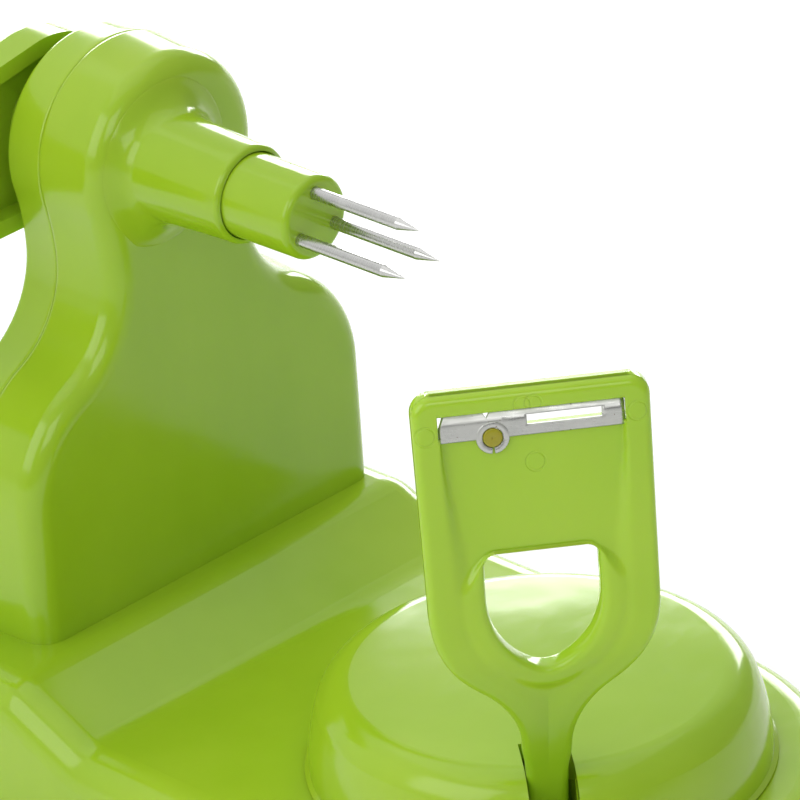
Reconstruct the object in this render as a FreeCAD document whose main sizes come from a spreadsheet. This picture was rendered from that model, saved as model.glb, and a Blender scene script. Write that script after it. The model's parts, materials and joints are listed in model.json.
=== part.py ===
"""Hand cranked apple peeler, as separate pieces, in millimetres.

+X runs along the spindle from the post to the fruit, +Y is across, +Z is up.
The rims of the suction cups lie on Z = 0. Every piece is drawn with the
turntable's axis at X = Y = 0, and at the end all are moved together so that
the origin lies under the middle of the whole outline.
The crank turns the spindle; a worm on it turns the drive shaft, whose pinion
turns the idler and so the table gear under the dome, which carries the arm
with the blade round the fruit.
"""
import math
import os

import FreeCAD
import Part
import Sketcher

Vector = FreeCAD.Vector
Placement = FreeCAD.Placement
Rotation = FreeCAD.Rotation

AXIS_X = Vector(1, 0, 0)
AXIS_Y = Vector(0, 1, 0)
AXIS_Z = Vector(0, 0, 1)
ORIGIN = Vector(0, 0, 0)

document = FreeCAD.newDocument("apple_peeler")
sheet = document.addObject("Spreadsheet::Sheet", "Sizes")


class Size:
    """A number together with the expression of sheet cells that gives it."""

    def __init__(self, value, text):
        self.value = float(value)
        self.text = text

    def __float__(self):
        return self.value

    def __add__(self, other):
        other = as_size(other)
        return Size(self.value + other.value, f"({self.text} + {other.text})")

    def __sub__(self, other):
        other = as_size(other)
        return Size(self.value - other.value, f"({self.text} - {other.text})")

    def __mul__(self, other):
        other = as_size(other)
        return Size(self.value * other.value, f"({self.text} * {other.text})")

    def __truediv__(self, other):
        other = as_size(other)
        return Size(self.value / other.value, f"({self.text} / {other.text})")

    def __neg__(self):
        return Size(-self.value, f"(0 - {self.text})")

    def __radd__(self, other):
        return as_size(other) + self

    def __rsub__(self, other):
        return as_size(other) - self

    def __rmul__(self, other):
        return as_size(other) * self

    def __rtruediv__(self, other):
        return as_size(other) / self


def as_size(amount):
    """Return a Size as it is, and a plain number as a Size of that number."""
    if isinstance(amount, Size):
        return amount
    return Size(amount, repr(float(amount)))


def root(amount):
    """Return the square root of a Size."""
    return Size(math.sqrt(amount.value), f"sqrt({amount.text})")


def cosine(degrees):
    """Return the cosine of a Size in degrees."""
    return Size(math.cos(math.radians(degrees.value)), f"cos({degrees.text} * 1 deg)")


def sine(degrees):
    """Return the sine of a Size in degrees."""
    return Size(math.sin(math.radians(degrees.value)), f"sin({degrees.text} * 1 deg)")


def size(alias, value, note):
    """Write one driving dimension in the sheet and return it as a Size."""
    row = size.rows = size.rows + 1
    sheet.set(f"A{row}", alias)
    sheet.set(f"B{row}", repr(value))
    sheet.set(f"C{row}", note)
    sheet.setAlias(f"B{row}", alias)
    return Size(value, f"Sizes.{alias}")


size.rows = 0

# Base
floor_top = size("floor_top", 26.0, "height of the floor that the turntable stands on")
ledge_rise = size("ledge_rise", 7.5, "height of the ledge under the post above the floor")
ledge_front = size("ledge_front", 76.0, "turntable axis to the front of the ledge")
slope_foot = size("slope_foot", 60.0, "turntable axis to the foot of the ledge's slope")
slope_round = size("slope_round", 9.0, "round at the slope's foot and crest")
base_half = size("base_half", 49.5, "half width of the base and radius of its round end")
base_rear = size("base_rear", 113.0, "turntable axis to the rear end of the base")
base_corner = size("base_corner", 16.0, "radius of the base's rear corners")
base_edge = size("base_edge", 6.5, "round along the base's top edge")
base_wall = size("base_wall", 2.4, "wall of the base shell")
base_skirt = size("base_skirt", 6.0, "height of the base shell's lower rim")
cover_thick = size("cover_thick", 2.4, "thickness of the bottom cover")
cover_gap = size("cover_gap", 0.15, "gap between the bottom cover and the base shell")

# Post
post_face = size("post_face", 80.5, "turntable axis to the post's front face")
front_depth = size("front_depth", 11.5, "depth of the front shell")
rear_depth = size("rear_depth", 12.5, "depth of the rear shell")
post_offset = size("post_offset", 3.6, "sideways offset of the post from the spindle")
post_wall = size("post_wall", 2.4, "wall of the post shells")
head_radius = size("head_radius", 20.9, "radius of the post's head at the seam")
head_drop = size("head_drop", 4.0, "spindle axis down to the middle of the post's head")
waist_half = size("waist_half", 17.9, "half width of the post's waist at the seam")
waist_drop = size("waist_drop", 17.0, "spindle axis down to the waist")
foot_inset = size("foot_inset", 9.5, "how much narrower than the base the post's foot is, each side")
shoulder_drop = size("shoulder_drop", 54.0, "spindle axis down to the top of the foot")
flare_radius = size("flare_radius", 18.0, "radius of the hollow curve under the waist")
front_draft = size("front_draft", 8.0, "draft of the front shell in degrees")
rear_draft = size("rear_draft", 7.0, "draft of the rear shell in degrees")
front_round = size("front_round", 4.0, "round of the front shell's edge")
rear_round = size("rear_round", 4.0, "round of the rear shell's edge")

# Spindle
spindle_height = size("spindle_height", 111.0, "height of the spindle axis")
spindle_radius = size("spindle_radius", 2.5, "radius of the spindle shaft")
running_gap = size("running_gap", 0.06, "radial clearance of a shaft that turns in a hole")
boss_length = size("boss_length", 19.5, "length of the spindle boss")
boss_root = size("boss_root", 10.5, "radius of the spindle boss at its root")
boss_tip = size("boss_tip", 8.8, "radius of the spindle boss at its end")
boss_bore_depth = size("boss_bore_depth", 9.0, "depth of the wide bore in the boss")
boss_fillet = size("boss_fillet", 4.5, "hollow round at the root of the boss")
hub_radius = size("hub_radius", 7.4, "radius of the fork hub")
hub_reach = size("hub_reach", 17.0, "length of the fork hub in front of the boss")
prong_circle = size("prong_circle", 4.6, "radius of the circle that the prongs stand on")
prong_radius = size("prong_radius", 1.1, "radius of a prong")
prong_reach = size("prong_reach", 24.0, "length of a prong in front of the hub")
prong_seat = size("prong_seat", 8.0, "depth of a prong in the hub")
prong_point = size("prong_point", 5.0, "length of a prong's point")

# Crank and knob
crank_gap = size("crank_gap", 1.6, "gap between the rear shell and the crank")
crank_thick = size("crank_thick", 8.0, "thickness of the crank arm")
crank_reach = size("crank_reach", 60.0, "spindle axis to the knob's axis")
crank_hub = size("crank_hub", 16.0, "radius of the crank's hub end")
crank_end = size("crank_end", 11.0, "radius of the crank's knob end")
crank_rim = size("crank_rim", 3.0, "width of the rim round the crank's channel")
crank_channel = size("crank_channel", 3.6, "depth of the crank's channel")
crank_droop = size("crank_droop", 5.0, "angle of the crank below level at rest, in degrees")
knob_length = size("knob_length", 30.0, "length of the knob")
knob_root = size("knob_root", 8.0, "radius of the knob beside the crank")
knob_belly = size("knob_belly", 11.0, "largest radius of the knob")
knob_gap = size("knob_gap", 0.5, "gap between the crank and the knob")
pin_radius = size("pin_radius", 2.5, "radius of the knob's pin and of the idler's pin")

# Gears
worm_radius = size("worm_radius", 5.0, "pitch radius of the worm")
worm_module = size("worm_module", 1.0, "module of the worm and the worm wheel")
worm_length = size("worm_length", 14.0, "length of the worm")
wheel_teeth = size("wheel_teeth", 12.0, "teeth of the worm wheel")
wheel_width = size("wheel_width", 7.0, "face width of the worm wheel")
gear_module = size("gear_module", 1.5, "module of the flat gears")
pinion_teeth = size("pinion_teeth", 16.0, "teeth of the drive pinion")
table_teeth = size("table_teeth", 40.0, "teeth of the table gear")
gear_width = size("gear_width", 6.0, "face width of the flat gears")
gear_lift = size("gear_lift", 3.6, "height of the flat gears above the bottom cover")
tooth_play = size("tooth_play", 0.16, "what is taken off the thickness of each tooth")
wheel_offset = size("wheel_offset", 0.5, "drive shaft behind the post's seam")

# Turntable
dome_radius = size("dome_radius", 39.0, "radius of the turntable dome")
dome_height = size("dome_height", 17.35, "height of the dome above the floor")
dome_side = size("dome_side", 1.0, "height above the floor where the dome's side begins to lean in")
dome_flat = size("dome_flat", 30.75, "radius where the dome's shoulder begins")
dome_crown = size("dome_crown", 1.07, "rise of the dome's top from there to its middle")
dome_round = size("dome_round", 6.5, "radius of the dome's shoulder")
dome_wall = size("dome_wall", 2.4, "wall of the dome")
dome_gap = size("dome_gap", 0.4, "running gap between the dome and the floor")
bearing_radius = size("bearing_radius", 9.0, "radius of the dome's hub in the floor")
key_half = size("key_half", 4.5, "half the side of the square that turns the table gear")
slot_half = size("slot_half", 4.0, "half width of the slot in the dome")
slot_offset = size("slot_offset", 2.5, "sideways offset of the slot from the turntable axis")
slot_start = size("slot_start", 24.0, "turntable axis to the inner end of the slot")

# Arm
arm_angle = size("arm_angle", -39.0, "heading of the arm at rest, in degrees from +X")
arm_offset = size("arm_offset", 3.0, "sideways offset of the arm from the turntable axis")
pivot_reach = size("pivot_reach", 28.0, "turntable axis to the arm's pivot")
pivot_rise = size("pivot_rise", 5.0, "height of the arm's pivot above the floor")
pivot_radius = size("pivot_radius", 1.5, "radius of the arm's pivot pin")
eye_radius = size("eye_radius", 3.6, "radius of the eye at the arm's foot")
knee_reach = size("knee_reach", 42.0, "turntable axis to the arm's knee")
knee_rise = size("knee_rise", 45.5, "height of the knee above the floor")
knee_radius = size("knee_radius", 22.0, "radius of the arm's bend at the knee")
head_lean = size("head_lean", 7.5, "lean of the arm's head towards the fruit, in degrees")
head_top = size("head_top", 87.3, "height of the arm's top above the floor")
arm_thick = size("arm_thick", 4.0, "thickness of the arm")
arm_half = size("arm_half", 18.5, "half width of the arm's head at its top")
arm_low_half = size("arm_low_half", 18.1, "half width of the arm's head above its shoulders")
arm_shoulder = size("arm_shoulder", 52.0, "height where the arm's shoulders begin, above the floor")
neck_half = size("neck_half", 3.95, "half width of the arm's neck")
neck_top = size("neck_top", 22.0, "height where the neck begins to widen, above the floor")
shoulder_radius = size("shoulder_radius", 21.0, "radius of the arm's shoulders")
foot_width_half = size("foot_width_half", 3.4, "half width of the arm's foot")
arm_corner = size("arm_corner", 3.3, "radius of the head's top corners")
rail_width = size("rail_width", 4.0, "width of the raised rails beside the panel")
bar_height = size("bar_height", 3.2, "height of the raised bar over the window")
recess_depth = size("recess_depth", 1.4, "depth of the panel below the rails")
recess_bottom = size("recess_bottom", 55.0, "height where the recess runs out, above the floor")
window_height = size("window_height", 3.8, "height of the blade window")
blade_ledge = size("blade_ledge", 2.0, "width of the ledges that carry the blade's ends")
hole_half = size("hole_half", 9.0, "half width of the arm's hole")
hole_top = size("hole_top", 61.0, "height of the hole's flat top above the floor")
hole_straight = size("hole_straight", 7.5, "height of the hole's upright sides")
hole_tip = size("hole_tip", 40.2, "height of the hole's lower tip above the floor")
tip_radius = size("tip_radius", 4.0, "radius of the hole's lower tip")
hole_corner = size("hole_corner", 2.0, "radius of the hole's upper corners")

# Blade
blade_thick = size("blade_thick", 0.6, "thickness of the blade")
blade_height = size("blade_height", 4.6, "height of the blade plate")
blade_play = size("blade_play", 0.1, "gap round the blade in its recess")
tab_radius = size("tab_radius", 2.6, "radius of the blade's tab")
peg_radius = size("peg_radius", 1.6, "radius of the peg that holds the blade")
peg_side = size("peg_side", 6.1, "sideways distance of the peg from the head's middle")
slit_half = size("slit_half", 6.3, "half length of the cutting slit")
slit_side = size("slit_side", 5.6, "sideways distance of the slit from the head's middle")
slit_height = size("slit_height", 1.7, "height of the cutting slit")

# Suction cups and screws
cup_radius = size("cup_radius", 13.5, "radius of a suction cup's rim")
cup_stem = size("cup_stem", 3.0, "radius of a suction cup's stem")
cup_cap = size("cup_cap", 4.0, "radius of the head that holds a cup in the cover")
front_cup_inset = size("front_cup_inset", 27.5, "base's front end back to the front cups")
front_cup_side = size("front_cup_side", 28.5, "base's sides in to the front cups")
rear_cup_inset = size("rear_cup_inset", 25.0, "base's rear end forward to the rear cups")
rear_cup_side = size("rear_cup_side", 19.5, "base's sides in to the rear cups")
screw_radius = size("screw_radius", 1.5, "radius of the screws")
screw_head = size("screw_head", 2.9, "radius of the screw heads")
head_thick = size("head_thick", 2.0, "thickness of the screw heads")
screw_boss = size("screw_boss", 3.6, "radius of the bosses that the screws hold in")

# Sizes worked out from the driving ones
cover_top = base_skirt + cover_thick
ledge_top = floor_top + ledge_rise
floor_under = floor_top - base_wall
foot_half = base_half - foot_inset
seam = post_face + front_depth
post_rear = seam + rear_depth
boss_end = post_face - boss_length
shaft_x = seam + wheel_offset
shaft_y = worm_radius + worm_module * wheel_teeth / 2
gear_low = cover_top + gear_lift
gear_high = gear_low + gear_width
crank_front = post_rear + crank_gap
crank_back = crank_front + crank_thick
table_pitch = gear_module * table_teeth / 2
pinion_pitch = gear_module * pinion_teeth / 2
shaft_distance = root(shaft_x * shaft_x + shaft_y * shaft_y)
idler_span = shaft_distance - table_pitch - pinion_pitch
idler_count = math.ceil(idler_span.value / gear_module.value) + 2
idler_teeth = size("idler_teeth", float(idler_count), "teeth of the idler, enough to reach both gears")
idler_pitch = gear_module * idler_teeth / 2
document.recompute()

nodes = {}


def place(x=0.0, y=0.0, z=0.0, axis=AXIS_Z, angle=0.0):
    """Return a placement from Sizes or numbers."""
    return Placement(Vector(float(x), float(y), float(z)), Rotation(axis, float(angle)))


def new_body(label, placement=None):
    """Start the body of one sub-part."""
    body = document.addObject("PartDesign::Body", label)
    body.Label = label
    if placement is not None:
        body.Placement = placement
    nodes[label] = body
    return body


def origin_plane(body, role):
    """Return one of a body's own origin planes or axes."""
    for feature in body.Origin.OriginFeatures:
        if feature.Role == role:
            return feature
    raise ValueError(role)


def fix(sketch, kind, first, amount):
    """Add a constraint with a size that follows the sheet."""
    amount = as_size(amount)
    index = sketch.addConstraint(Sketcher.Constraint(kind, *first, amount.value))
    sketch.setExpression(f"Constraints[{index}]", amount.text)


def add_circle(sketch, x, y, radius):
    """Draw a circle whose centre and radius follow the sheet."""
    shape = Part.Circle(Vector(float(x), float(y), 0), AXIS_Z, float(radius))
    index = sketch.addGeometry(shape, False)
    fix(sketch, "Radius", (index,), radius)
    fix(sketch, "DistanceX", (-1, 1, index, 3), x)
    fix(sketch, "DistanceY", (-1, 1, index, 3), y)


def arc_between(start, end, radius, turn):
    """Return the short arc from start to end that turns left (1) or right (-1)."""
    chord = end - start
    rise = math.sqrt(max(radius * radius - chord.Length * chord.Length / 4, 0.0))
    normal = Vector(-chord.y, chord.x, 0).normalize() * (turn * rise)
    centre = (start + end) * 0.5 + normal
    middle = centre - normal.normalize() * radius if rise > 0 else None
    if middle is None:
        middle = centre + Vector(chord.y, -chord.x, 0).normalize() * (turn * radius)
    if turn > 0:
        return Part.Arc(start, middle, end)
    return Part.Arc(end, middle, start)


def add_loop(sketch, corners):
    """Draw a closed loop; a corner with a radius and a turn is reached by an arc."""
    points = [Vector(float(corner[0]), float(corner[1]), 0) for corner in corners]
    edges = []
    for number, corner in enumerate(corners):
        start = points[number - 1]
        end = points[number]
        if len(corner) == 4:
            arc = arc_between(start, end, float(corner[2]), corner[3])
            index = sketch.addGeometry(arc, False)
            ends = (1, 2) if corner[3] > 0 else (2, 1)
        else:
            index = sketch.addGeometry(Part.LineSegment(start, end), False)
            ends = (1, 2)
        edges.append((index, ends))
    for number, corner in enumerate(corners):
        index, ends = edges[number]
        following, next_ends = edges[(number + 1) % len(edges)]
        link = Sketcher.Constraint("Coincident", index, ends[1], following, next_ends[0])
        sketch.addConstraint(link)
        fix(sketch, "DistanceX", (-1, 1, index, ends[1]), corner[0])
        fix(sketch, "DistanceY", (-1, 1, index, ends[1]), corner[1])
        if len(corner) == 4:
            fix(sketch, "Radius", (index,), corner[2])


def new_sketch(body, role, loops, away=0.0):
    """Draw loops on an origin plane of the body, moved along the plane's normal."""
    sketch = body.newObject("Sketcher::SketchObject", f"{body.Label}_sketch")
    sketch.AttachmentSupport = [(origin_plane(body, role), "")]
    sketch.MapMode = "FlatFace"
    away = as_size(away)
    sketch.AttachmentOffset = place(z=away)
    sketch.setExpression("AttachmentOffset.Base.z", away.text)
    for loop in loops:
        if loop[0] == "circle":
            add_circle(sketch, *loop[1:])
        else:
            add_loop(sketch, loop)
    sketch.recompute()
    return sketch


def extrude(body, kind, role, loops, length, away=0.0, back=False, draft=None):
    """Pad or pocket loops by a length, or by half of it both ways when back is None."""
    sketch = new_sketch(body, role, loops, away)
    feature = body.newObject(f"PartDesign::{kind}", f"{body.Label}_{kind.lower()}")
    feature.Profile = sketch
    length = as_size(length)
    feature.Length = length.value
    feature.setExpression("Length", length.text)
    if back is None:
        feature.SideType = "Symmetric"
    else:
        feature.Reversed = back
    if draft is not None:
        draft = as_size(draft)
        feature.TaperAngle = draft.value
        feature.setExpression("TaperAngle", draft.text)
    feature.recompute()
    return feature


def turn(body, kind, role, loops, axis_role="X_Axis", level=None):
    """Revolve loops, or groove with them, round a body axis or a line at a level."""
    sketch = new_sketch(body, role, loops)
    feature = body.newObject(f"PartDesign::{kind}", f"{body.Label}_{kind.lower()}")
    feature.Profile = sketch
    if level is None:
        feature.ReferenceAxis = (origin_plane(body, axis_role), [""])
    else:
        ends = [Vector(along_line, float(level), 0) for along_line in (-10, 10)]
        line = sketch.addGeometry(Part.LineSegment(*ends), True)
        fix(sketch, "DistanceX", (-1, 1, line, 1), -10)
        fix(sketch, "DistanceY", (-1, 1, line, 1), level)
        fix(sketch, "DistanceX", (-1, 1, line, 2), 10)
        fix(sketch, "DistanceY", (-1, 1, line, 2), level)
        sketch.recompute()
        feature.ReferenceAxis = (sketch, ["Axis0"])
    feature.Angle = 360.0
    feature.recompute()
    return feature


def dress(body, kind, amount, chosen):
    """Round or bevel the edges of the body's last feature that the test chooses."""
    base = body.Tip
    names = []
    for number, edge in enumerate(base.Shape.Edges, start=1):
        if chosen(edge):
            names.append(f"Edge{number}")
    feature = body.newObject(f"PartDesign::{kind}", f"{body.Label}_{kind.lower()}")
    feature.Base = (base, names)
    amount = as_size(amount)
    prop = "Radius" if kind == "Fillet" else "Size"
    setattr(feature, prop, amount.value)
    feature.setExpression(prop, amount.text)
    feature.recompute()
    return feature


def near(value, target, slack=0.05):
    """Tell whether a number lies close to a Size or number."""
    return abs(value - float(target)) < slack


def add_solid(label, shape, placement=None):
    """Make a sub-part from a shape worked out with Part's own functions."""
    feature = document.addObject("Part::Feature", label)
    feature.Label = label
    feature.Shape = shape
    if placement is not None:
        feature.Placement = placement
    nodes[label] = feature
    return feature


# Base shell and bottom cover

def base_plan(inset):
    """Return the base's plan, a round front end and two rounded rear corners."""
    half = base_half - inset
    rear = -(base_rear - inset)
    corner = base_corner - inset
    return [
        (half, 0.0, half, 1),
        (0.0, half, half, 1),
        (rear + corner, half),
        (rear, half - corner, corner, 1),
        (rear, -(half - corner)),
        (rear + corner, -half, corner, 1),
        (0.0, -half),
    ]


def mirrored(x, y):
    """Return the two places at plus and minus y."""
    return [(x, y), (x, -y)]


cover_screw_places = (
    mirrored(0.0, base_half - base_edge)
    + mirrored(-slope_foot, base_half - base_edge)
    + mirrored(-(base_rear - base_edge), base_corner + 8.0)
)
front_cups = mirrored(base_half - front_cup_inset, base_half - front_cup_side)
rear_cups = mirrored(rear_cup_inset - base_rear, base_half - rear_cup_side)
cup_places = front_cups + rear_cups
mount_low = post_offset - foot_half + 7.0
mount_high = post_offset + foot_half - 8.0
front_mount_x = -(post_face + 5.5)
rear_mount_x = -(post_rear - 5.5)
mount_places = [
    (front_mount_x, mount_low),
    (front_mount_x, mount_high),
    (rear_mount_x, mount_low),
    (rear_mount_x, mount_high),
]

reach_sum = table_pitch + idler_pitch
idler_side = pinion_pitch + idler_pitch
along = (reach_sum * reach_sum + shaft_distance * shaft_distance
         - idler_side * idler_side) / (2 * shaft_distance)
across = root(reach_sum * reach_sum - along * along)
toward_x = -shaft_x / shaft_distance
toward_y = shaft_y / shaft_distance
idler_x = toward_x * along - toward_y * across
idler_y = toward_y * along + toward_x * across

base = new_body("base_shell")
extrude(base, "Pad", "XY_Plane", [base_plan(as_size(0.0))], ledge_top - base_skirt, base_skirt)
slope_run = ledge_front - slope_foot
slope_length = root(slope_run * slope_run + ledge_rise * ledge_rise)
round_run = slope_round * ledge_rise / (slope_length + slope_run)
round_x = round_run * slope_run / slope_length
round_z = round_run * ledge_rise / slope_length
extrude(base, "Pocket", "XZ_Plane", [[
    (round_run - slope_foot, floor_top, slope_round, 1),
    (base_half + 5, floor_top),
    (base_half + 5, ledge_top + 5),
    (-(ledge_front + round_run), ledge_top + 5),
    (-(ledge_front + round_run), ledge_top),
    (round_x - ledge_front, ledge_top - round_z, slope_round, -1),
    (-(slope_foot + round_x), floor_top + round_z),
]], base_half * 2 + 10, back=None)


def on_top_outline(edge):
    """Choose the edges round the base's top, not the creases across it."""
    box = edge.BoundBox
    if box.ZMin < float(floor_top) - 0.05:
        return False
    crosses = box.YLength > float(base_half) and box.XLength < 0.1
    inside = abs(box.YMin + box.YMax) < 0.1 and near(box.XMax, -slope_foot, 20.0) and box.XLength < 0.1
    rear_edge = near(box.XMin, -base_rear)
    return rear_edge or not (crosses or inside)


dress(base, "Fillet", base_edge, on_top_outline)
extrude(base, "Pocket", "XY_Plane", [base_plan(base_wall)], floor_under - base_skirt, base_skirt, back=True)


def on_cavity_roof(edge):
    """Choose the edges round the roof of the base's cavity."""
    box = edge.BoundBox
    return near(box.ZMin, floor_under) and near(box.ZMax, floor_under)


dress(base, "Fillet", base_edge - base_wall, on_cavity_roof)
ledge_room = base_half - base_edge - base_wall
extrude(base, "Pocket", "XY_Plane", [[
    (-(ledge_front + base_wall), -ledge_room),
    (-(ledge_front + base_wall), ledge_room),
    (-(base_rear - base_edge - base_wall), ledge_room),
    (-(base_rear - base_edge - base_wall), -ledge_room),
]], ledge_rise, floor_under, back=True)
boss_loops = [("circle", x, y, screw_boss) for x, y in cover_screw_places]
extrude(base, "Pad", "XY_Plane", boss_loops, floor_under - cover_top + 0.5, cover_top)
shaft_boss = spindle_radius + 2.5
roof_under_ledge = ledge_top - base_wall
extrude(base, "Pad", "XY_Plane", [("circle", -shaft_x, shaft_y, shaft_boss)],
        base_wall + 4, roof_under_ledge - 4)
extrude(base, "Pad", "XY_Plane", [("circle", idler_x, idler_y, pin_radius + 2.5)],
        floor_under - gear_high - 1.5, gear_high + 2)
extrude(base, "Pad", "XY_Plane", [("circle", 0.0, 0.0, bearing_radius + 2.5)],
        floor_under - gear_high - 0.5, gear_high + 1)
extrude(base, "Pocket", "XY_Plane", [("circle", 0.0, 0.0, bearing_radius + running_gap)],
        floor_top, 0.0, back=True)
extrude(base, "Pocket", "XY_Plane", [("circle", -shaft_x, shaft_y, spindle_radius + running_gap)],
        ledge_top, 1.0, back=True)
extrude(base, "Pocket", "XY_Plane", [("circle", idler_x, idler_y, pin_radius)],
        floor_under - gear_high - 1, gear_high, back=True)
extrude(base, "Pocket", "XY_Plane", [("circle", x, y, screw_radius) for x, y in cover_screw_places],
        floor_under - cover_top - 3, cover_top, back=True)
extrude(base, "Pocket", "XY_Plane", [("circle", x, y, screw_radius + 0.2) for x, y in mount_places],
        ledge_top, 1.0, back=True)

cover = new_body("bottom_cover")
extrude(cover, "Pad", "XY_Plane", [base_plan(base_wall + cover_gap)], cover_thick, base_skirt)
extrude(cover, "Pad", "XY_Plane", [
    ("circle", idler_x, idler_y, pin_radius + 3),
    ("circle", -shaft_x, shaft_y, shaft_boss + 1),
], gear_lift - 1.0 + cover_thick / 2, cover_top - cover_thick / 2)
extrude(cover, "Pocket", "XY_Plane", [("circle", idler_x, idler_y, pin_radius)],
        gear_lift + 3, cover_top - cover_thick + 0.8, back=True)
extrude(cover, "Pocket", "XY_Plane", [("circle", -shaft_x, shaft_y, spindle_radius + running_gap)],
        gear_lift + 3, cover_top - cover_thick + 0.8, back=True)
extrude(cover, "Pocket", "XY_Plane", [("circle", x, y, cup_stem) for x, y in cup_places],
        cover_top, 0.0, back=True)
extrude(cover, "Pocket", "XY_Plane", [("circle", x, y, screw_radius + 0.1) for x, y in cover_screw_places],
        cover_top, 0.0, back=True)
head_loops = [("circle", x, y, screw_head + 0.1) for x, y in cover_screw_places]
low_head = cover_thick - 1.0
extrude(cover, "Pocket", "XY_Plane", head_loops, base_skirt + low_head, 0.0, back=True)

# Suction cups

for number, (cup_x, cup_y) in enumerate(cup_places, start=1):
    cup = new_body(f"suction_cup_{number}", place(cup_x, cup_y))
    turn(cup, "Revolution", "XZ_Plane", [[
        (cup_radius, 0.0),
        (cup_radius, 0.9),
        (cup_stem + 1.6, base_skirt - 0.8, cup_radius, -1),
        (cup_stem + 1.6, base_skirt),
        (cup_stem, base_skirt),
        (cup_stem, cover_top),
        (cup_cap, cover_top),
        (cup_stem - 0.6, cover_top + 1.6),
        (0.0, cover_top + 1.6),
        (0.0, base_skirt - 2.6),
        (cup_radius - 1.6, 0.0, cup_radius * 1.6, 1),
    ]], "Z_Axis")
    cup.Placement = place(cup_x, cup_y)

# Post shells

def post_outline(inset, foot):
    """Return the post's front outline: head, waist, flare and foot, in Y and Z."""
    head = head_radius - inset
    waist = waist_half - inset
    wide = foot_half - inset
    middle = post_offset
    head_z = spindle_height - head_drop
    waist_z = spindle_height - waist_drop
    shoulder_z = spindle_height - shoulder_drop
    below_head = waist_drop - head_drop
    upper = (waist * waist + below_head * below_head - head * head) / (2 * (head - waist))
    share = head / (head + upper)
    neck_y = (waist + upper) * share
    neck_z = head_z - below_head * share
    fall = shoulder_drop - waist_drop
    widening = wide - waist
    both = (widening * widening + fall * fall) / (2 * widening)
    hollow = flare_radius + inset
    shoulder = both - hollow
    part = hollow / both
    bend_y = waist + hollow - (both - widening) * part
    bend_z = waist_z - fall * part
    return [
        (middle - wide, foot),
        (middle + wide, foot),
        (middle + wide, shoulder_z),
        (middle + bend_y, bend_z, shoulder, 1),
        (middle + waist, waist_z, hollow, -1),
        (middle + neck_y, neck_z, upper, -1),
        (middle, head_z + head, head, 1),
        (middle - neck_y, neck_z, head, 1),
        (middle - waist, waist_z, upper, -1),
        (middle - bend_y, bend_z, hollow, -1),
        (middle - wide, shoulder_z, shoulder, 1),
    ]


front_inset = post_wall + 2.0
rear_inset = post_wall + 1.0
post_screw_places = [
    (post_offset - head_radius * 0.63, spindle_height - head_drop + 1.5),
    (post_offset - foot_half + 12.0, ledge_top + 18.0),
    (post_offset + foot_half - 13.0, ledge_top + 18.0),
]
shelf_low = spindle_height + worm_radius + worm_module + 1.2
shaft_top = shelf_low + 3.5
shelf_loop = [
    (shaft_y - 5.0, shelf_low),
    (shaft_y + 5.0, shelf_low),
    (shaft_y + 5.0, shelf_low + 3),
    (shaft_y - 5.0, shelf_low + 3),
]
mount_boss_height = 10.0


def on_plane_x(where):
    """Return a test that chooses the outline's edges that lie on a plane X."""
    def chosen(edge):
        box = edge.BoundBox
        return near(box.XMin, where, 0.02) and near(box.XMax, where, 0.02) and box.ZMax > float(ledge_top) + 1
    return chosen


front = new_body("post_front_shell")
below = ledge_top - 6
front_outline = post_outline(as_size(0.0), below)
extrude(front, "Pad", "YZ_Plane", [front_outline], front_depth, -seam, draft=front_draft)
dress(front, "Fillet", front_round, on_plane_x(-post_face))
extrude(front, "Pocket", "YZ_Plane", [post_outline(front_inset, below - 1)],
        front_depth - post_wall, -seam, back=True)
screw_loops = [("circle", y, z, screw_boss) for y, z in post_screw_places]
extrude(front, "Pad", "YZ_Plane", screw_loops, front_depth - post_wall + 0.3, -seam)
extrude(front, "Pad", "YZ_Plane", [shelf_loop], front_depth - post_wall + 0.3, -seam)
mount_loops = [("circle", front_mount_x, y, screw_boss) for y in (mount_low, mount_high)]
extrude(front, "Pad", "XY_Plane", mount_loops, mount_boss_height, ledge_top)
trim_loop = [
    (-(post_rear + 9), -(foot_half + 9)),
    (-(post_face - 9), -(foot_half + 9)),
    (-(post_face - 9), foot_half + 19),
    (-(post_rear + 9), foot_half + 19),
]
extrude(front, "Pocket", "XY_Plane", [trim_loop], 9.0, ledge_top)
boss_start = -(post_face + post_wall)
turn(front, "Revolution", "XZ_Plane", [[
    (boss_start, spindle_height),
    (-boss_end, spindle_height),
    (-boss_end, spindle_height + boss_tip - 1),
    (-boss_end - 1, spindle_height + boss_tip, 1.0, 1),
    (-post_face, spindle_height + boss_root),
    (boss_start, spindle_height + boss_root),
]], level=spindle_height)


def on_boss_root(edge):
    """Choose the circle where the spindle boss meets the front face."""
    box = edge.BoundBox
    return near(box.XMin, -post_face, 0.02) and near(box.XMax, -post_face, 0.02) and near(
        box.ZLength, boss_root * 2, 0.3)


dress(front, "Fillet", boss_fillet, on_boss_root)
hub_back = boss_end + boss_bore_depth
turn(front, "Groove", "XZ_Plane", [[
    (-seam - 1, spindle_height),
    (-boss_end + 1, spindle_height),
    (-boss_end + 1, spindle_height + hub_radius + running_gap),
    (-hub_back, spindle_height + hub_radius + running_gap),
    (-hub_back, spindle_height + spindle_radius + running_gap),
    (-seam - 1, spindle_height + spindle_radius + running_gap),
]], level=spindle_height)
extrude(front, "Pocket", "YZ_Plane", [("circle", y, z, screw_radius) for y, z in post_screw_places],
        front_depth - post_wall - 0.5, -seam, back=True)
extrude(front, "Pocket", "XY_Plane", [("circle", -shaft_x, shaft_y, spindle_radius + running_gap)],
        shaft_top, 0.3, back=True)
extrude(front, "Pocket", "XY_Plane",
        [("circle", front_mount_x, y, screw_radius) for y in (mount_low, mount_high)],
        ledge_top + mount_boss_height - 1, 0.0, back=True)

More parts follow.
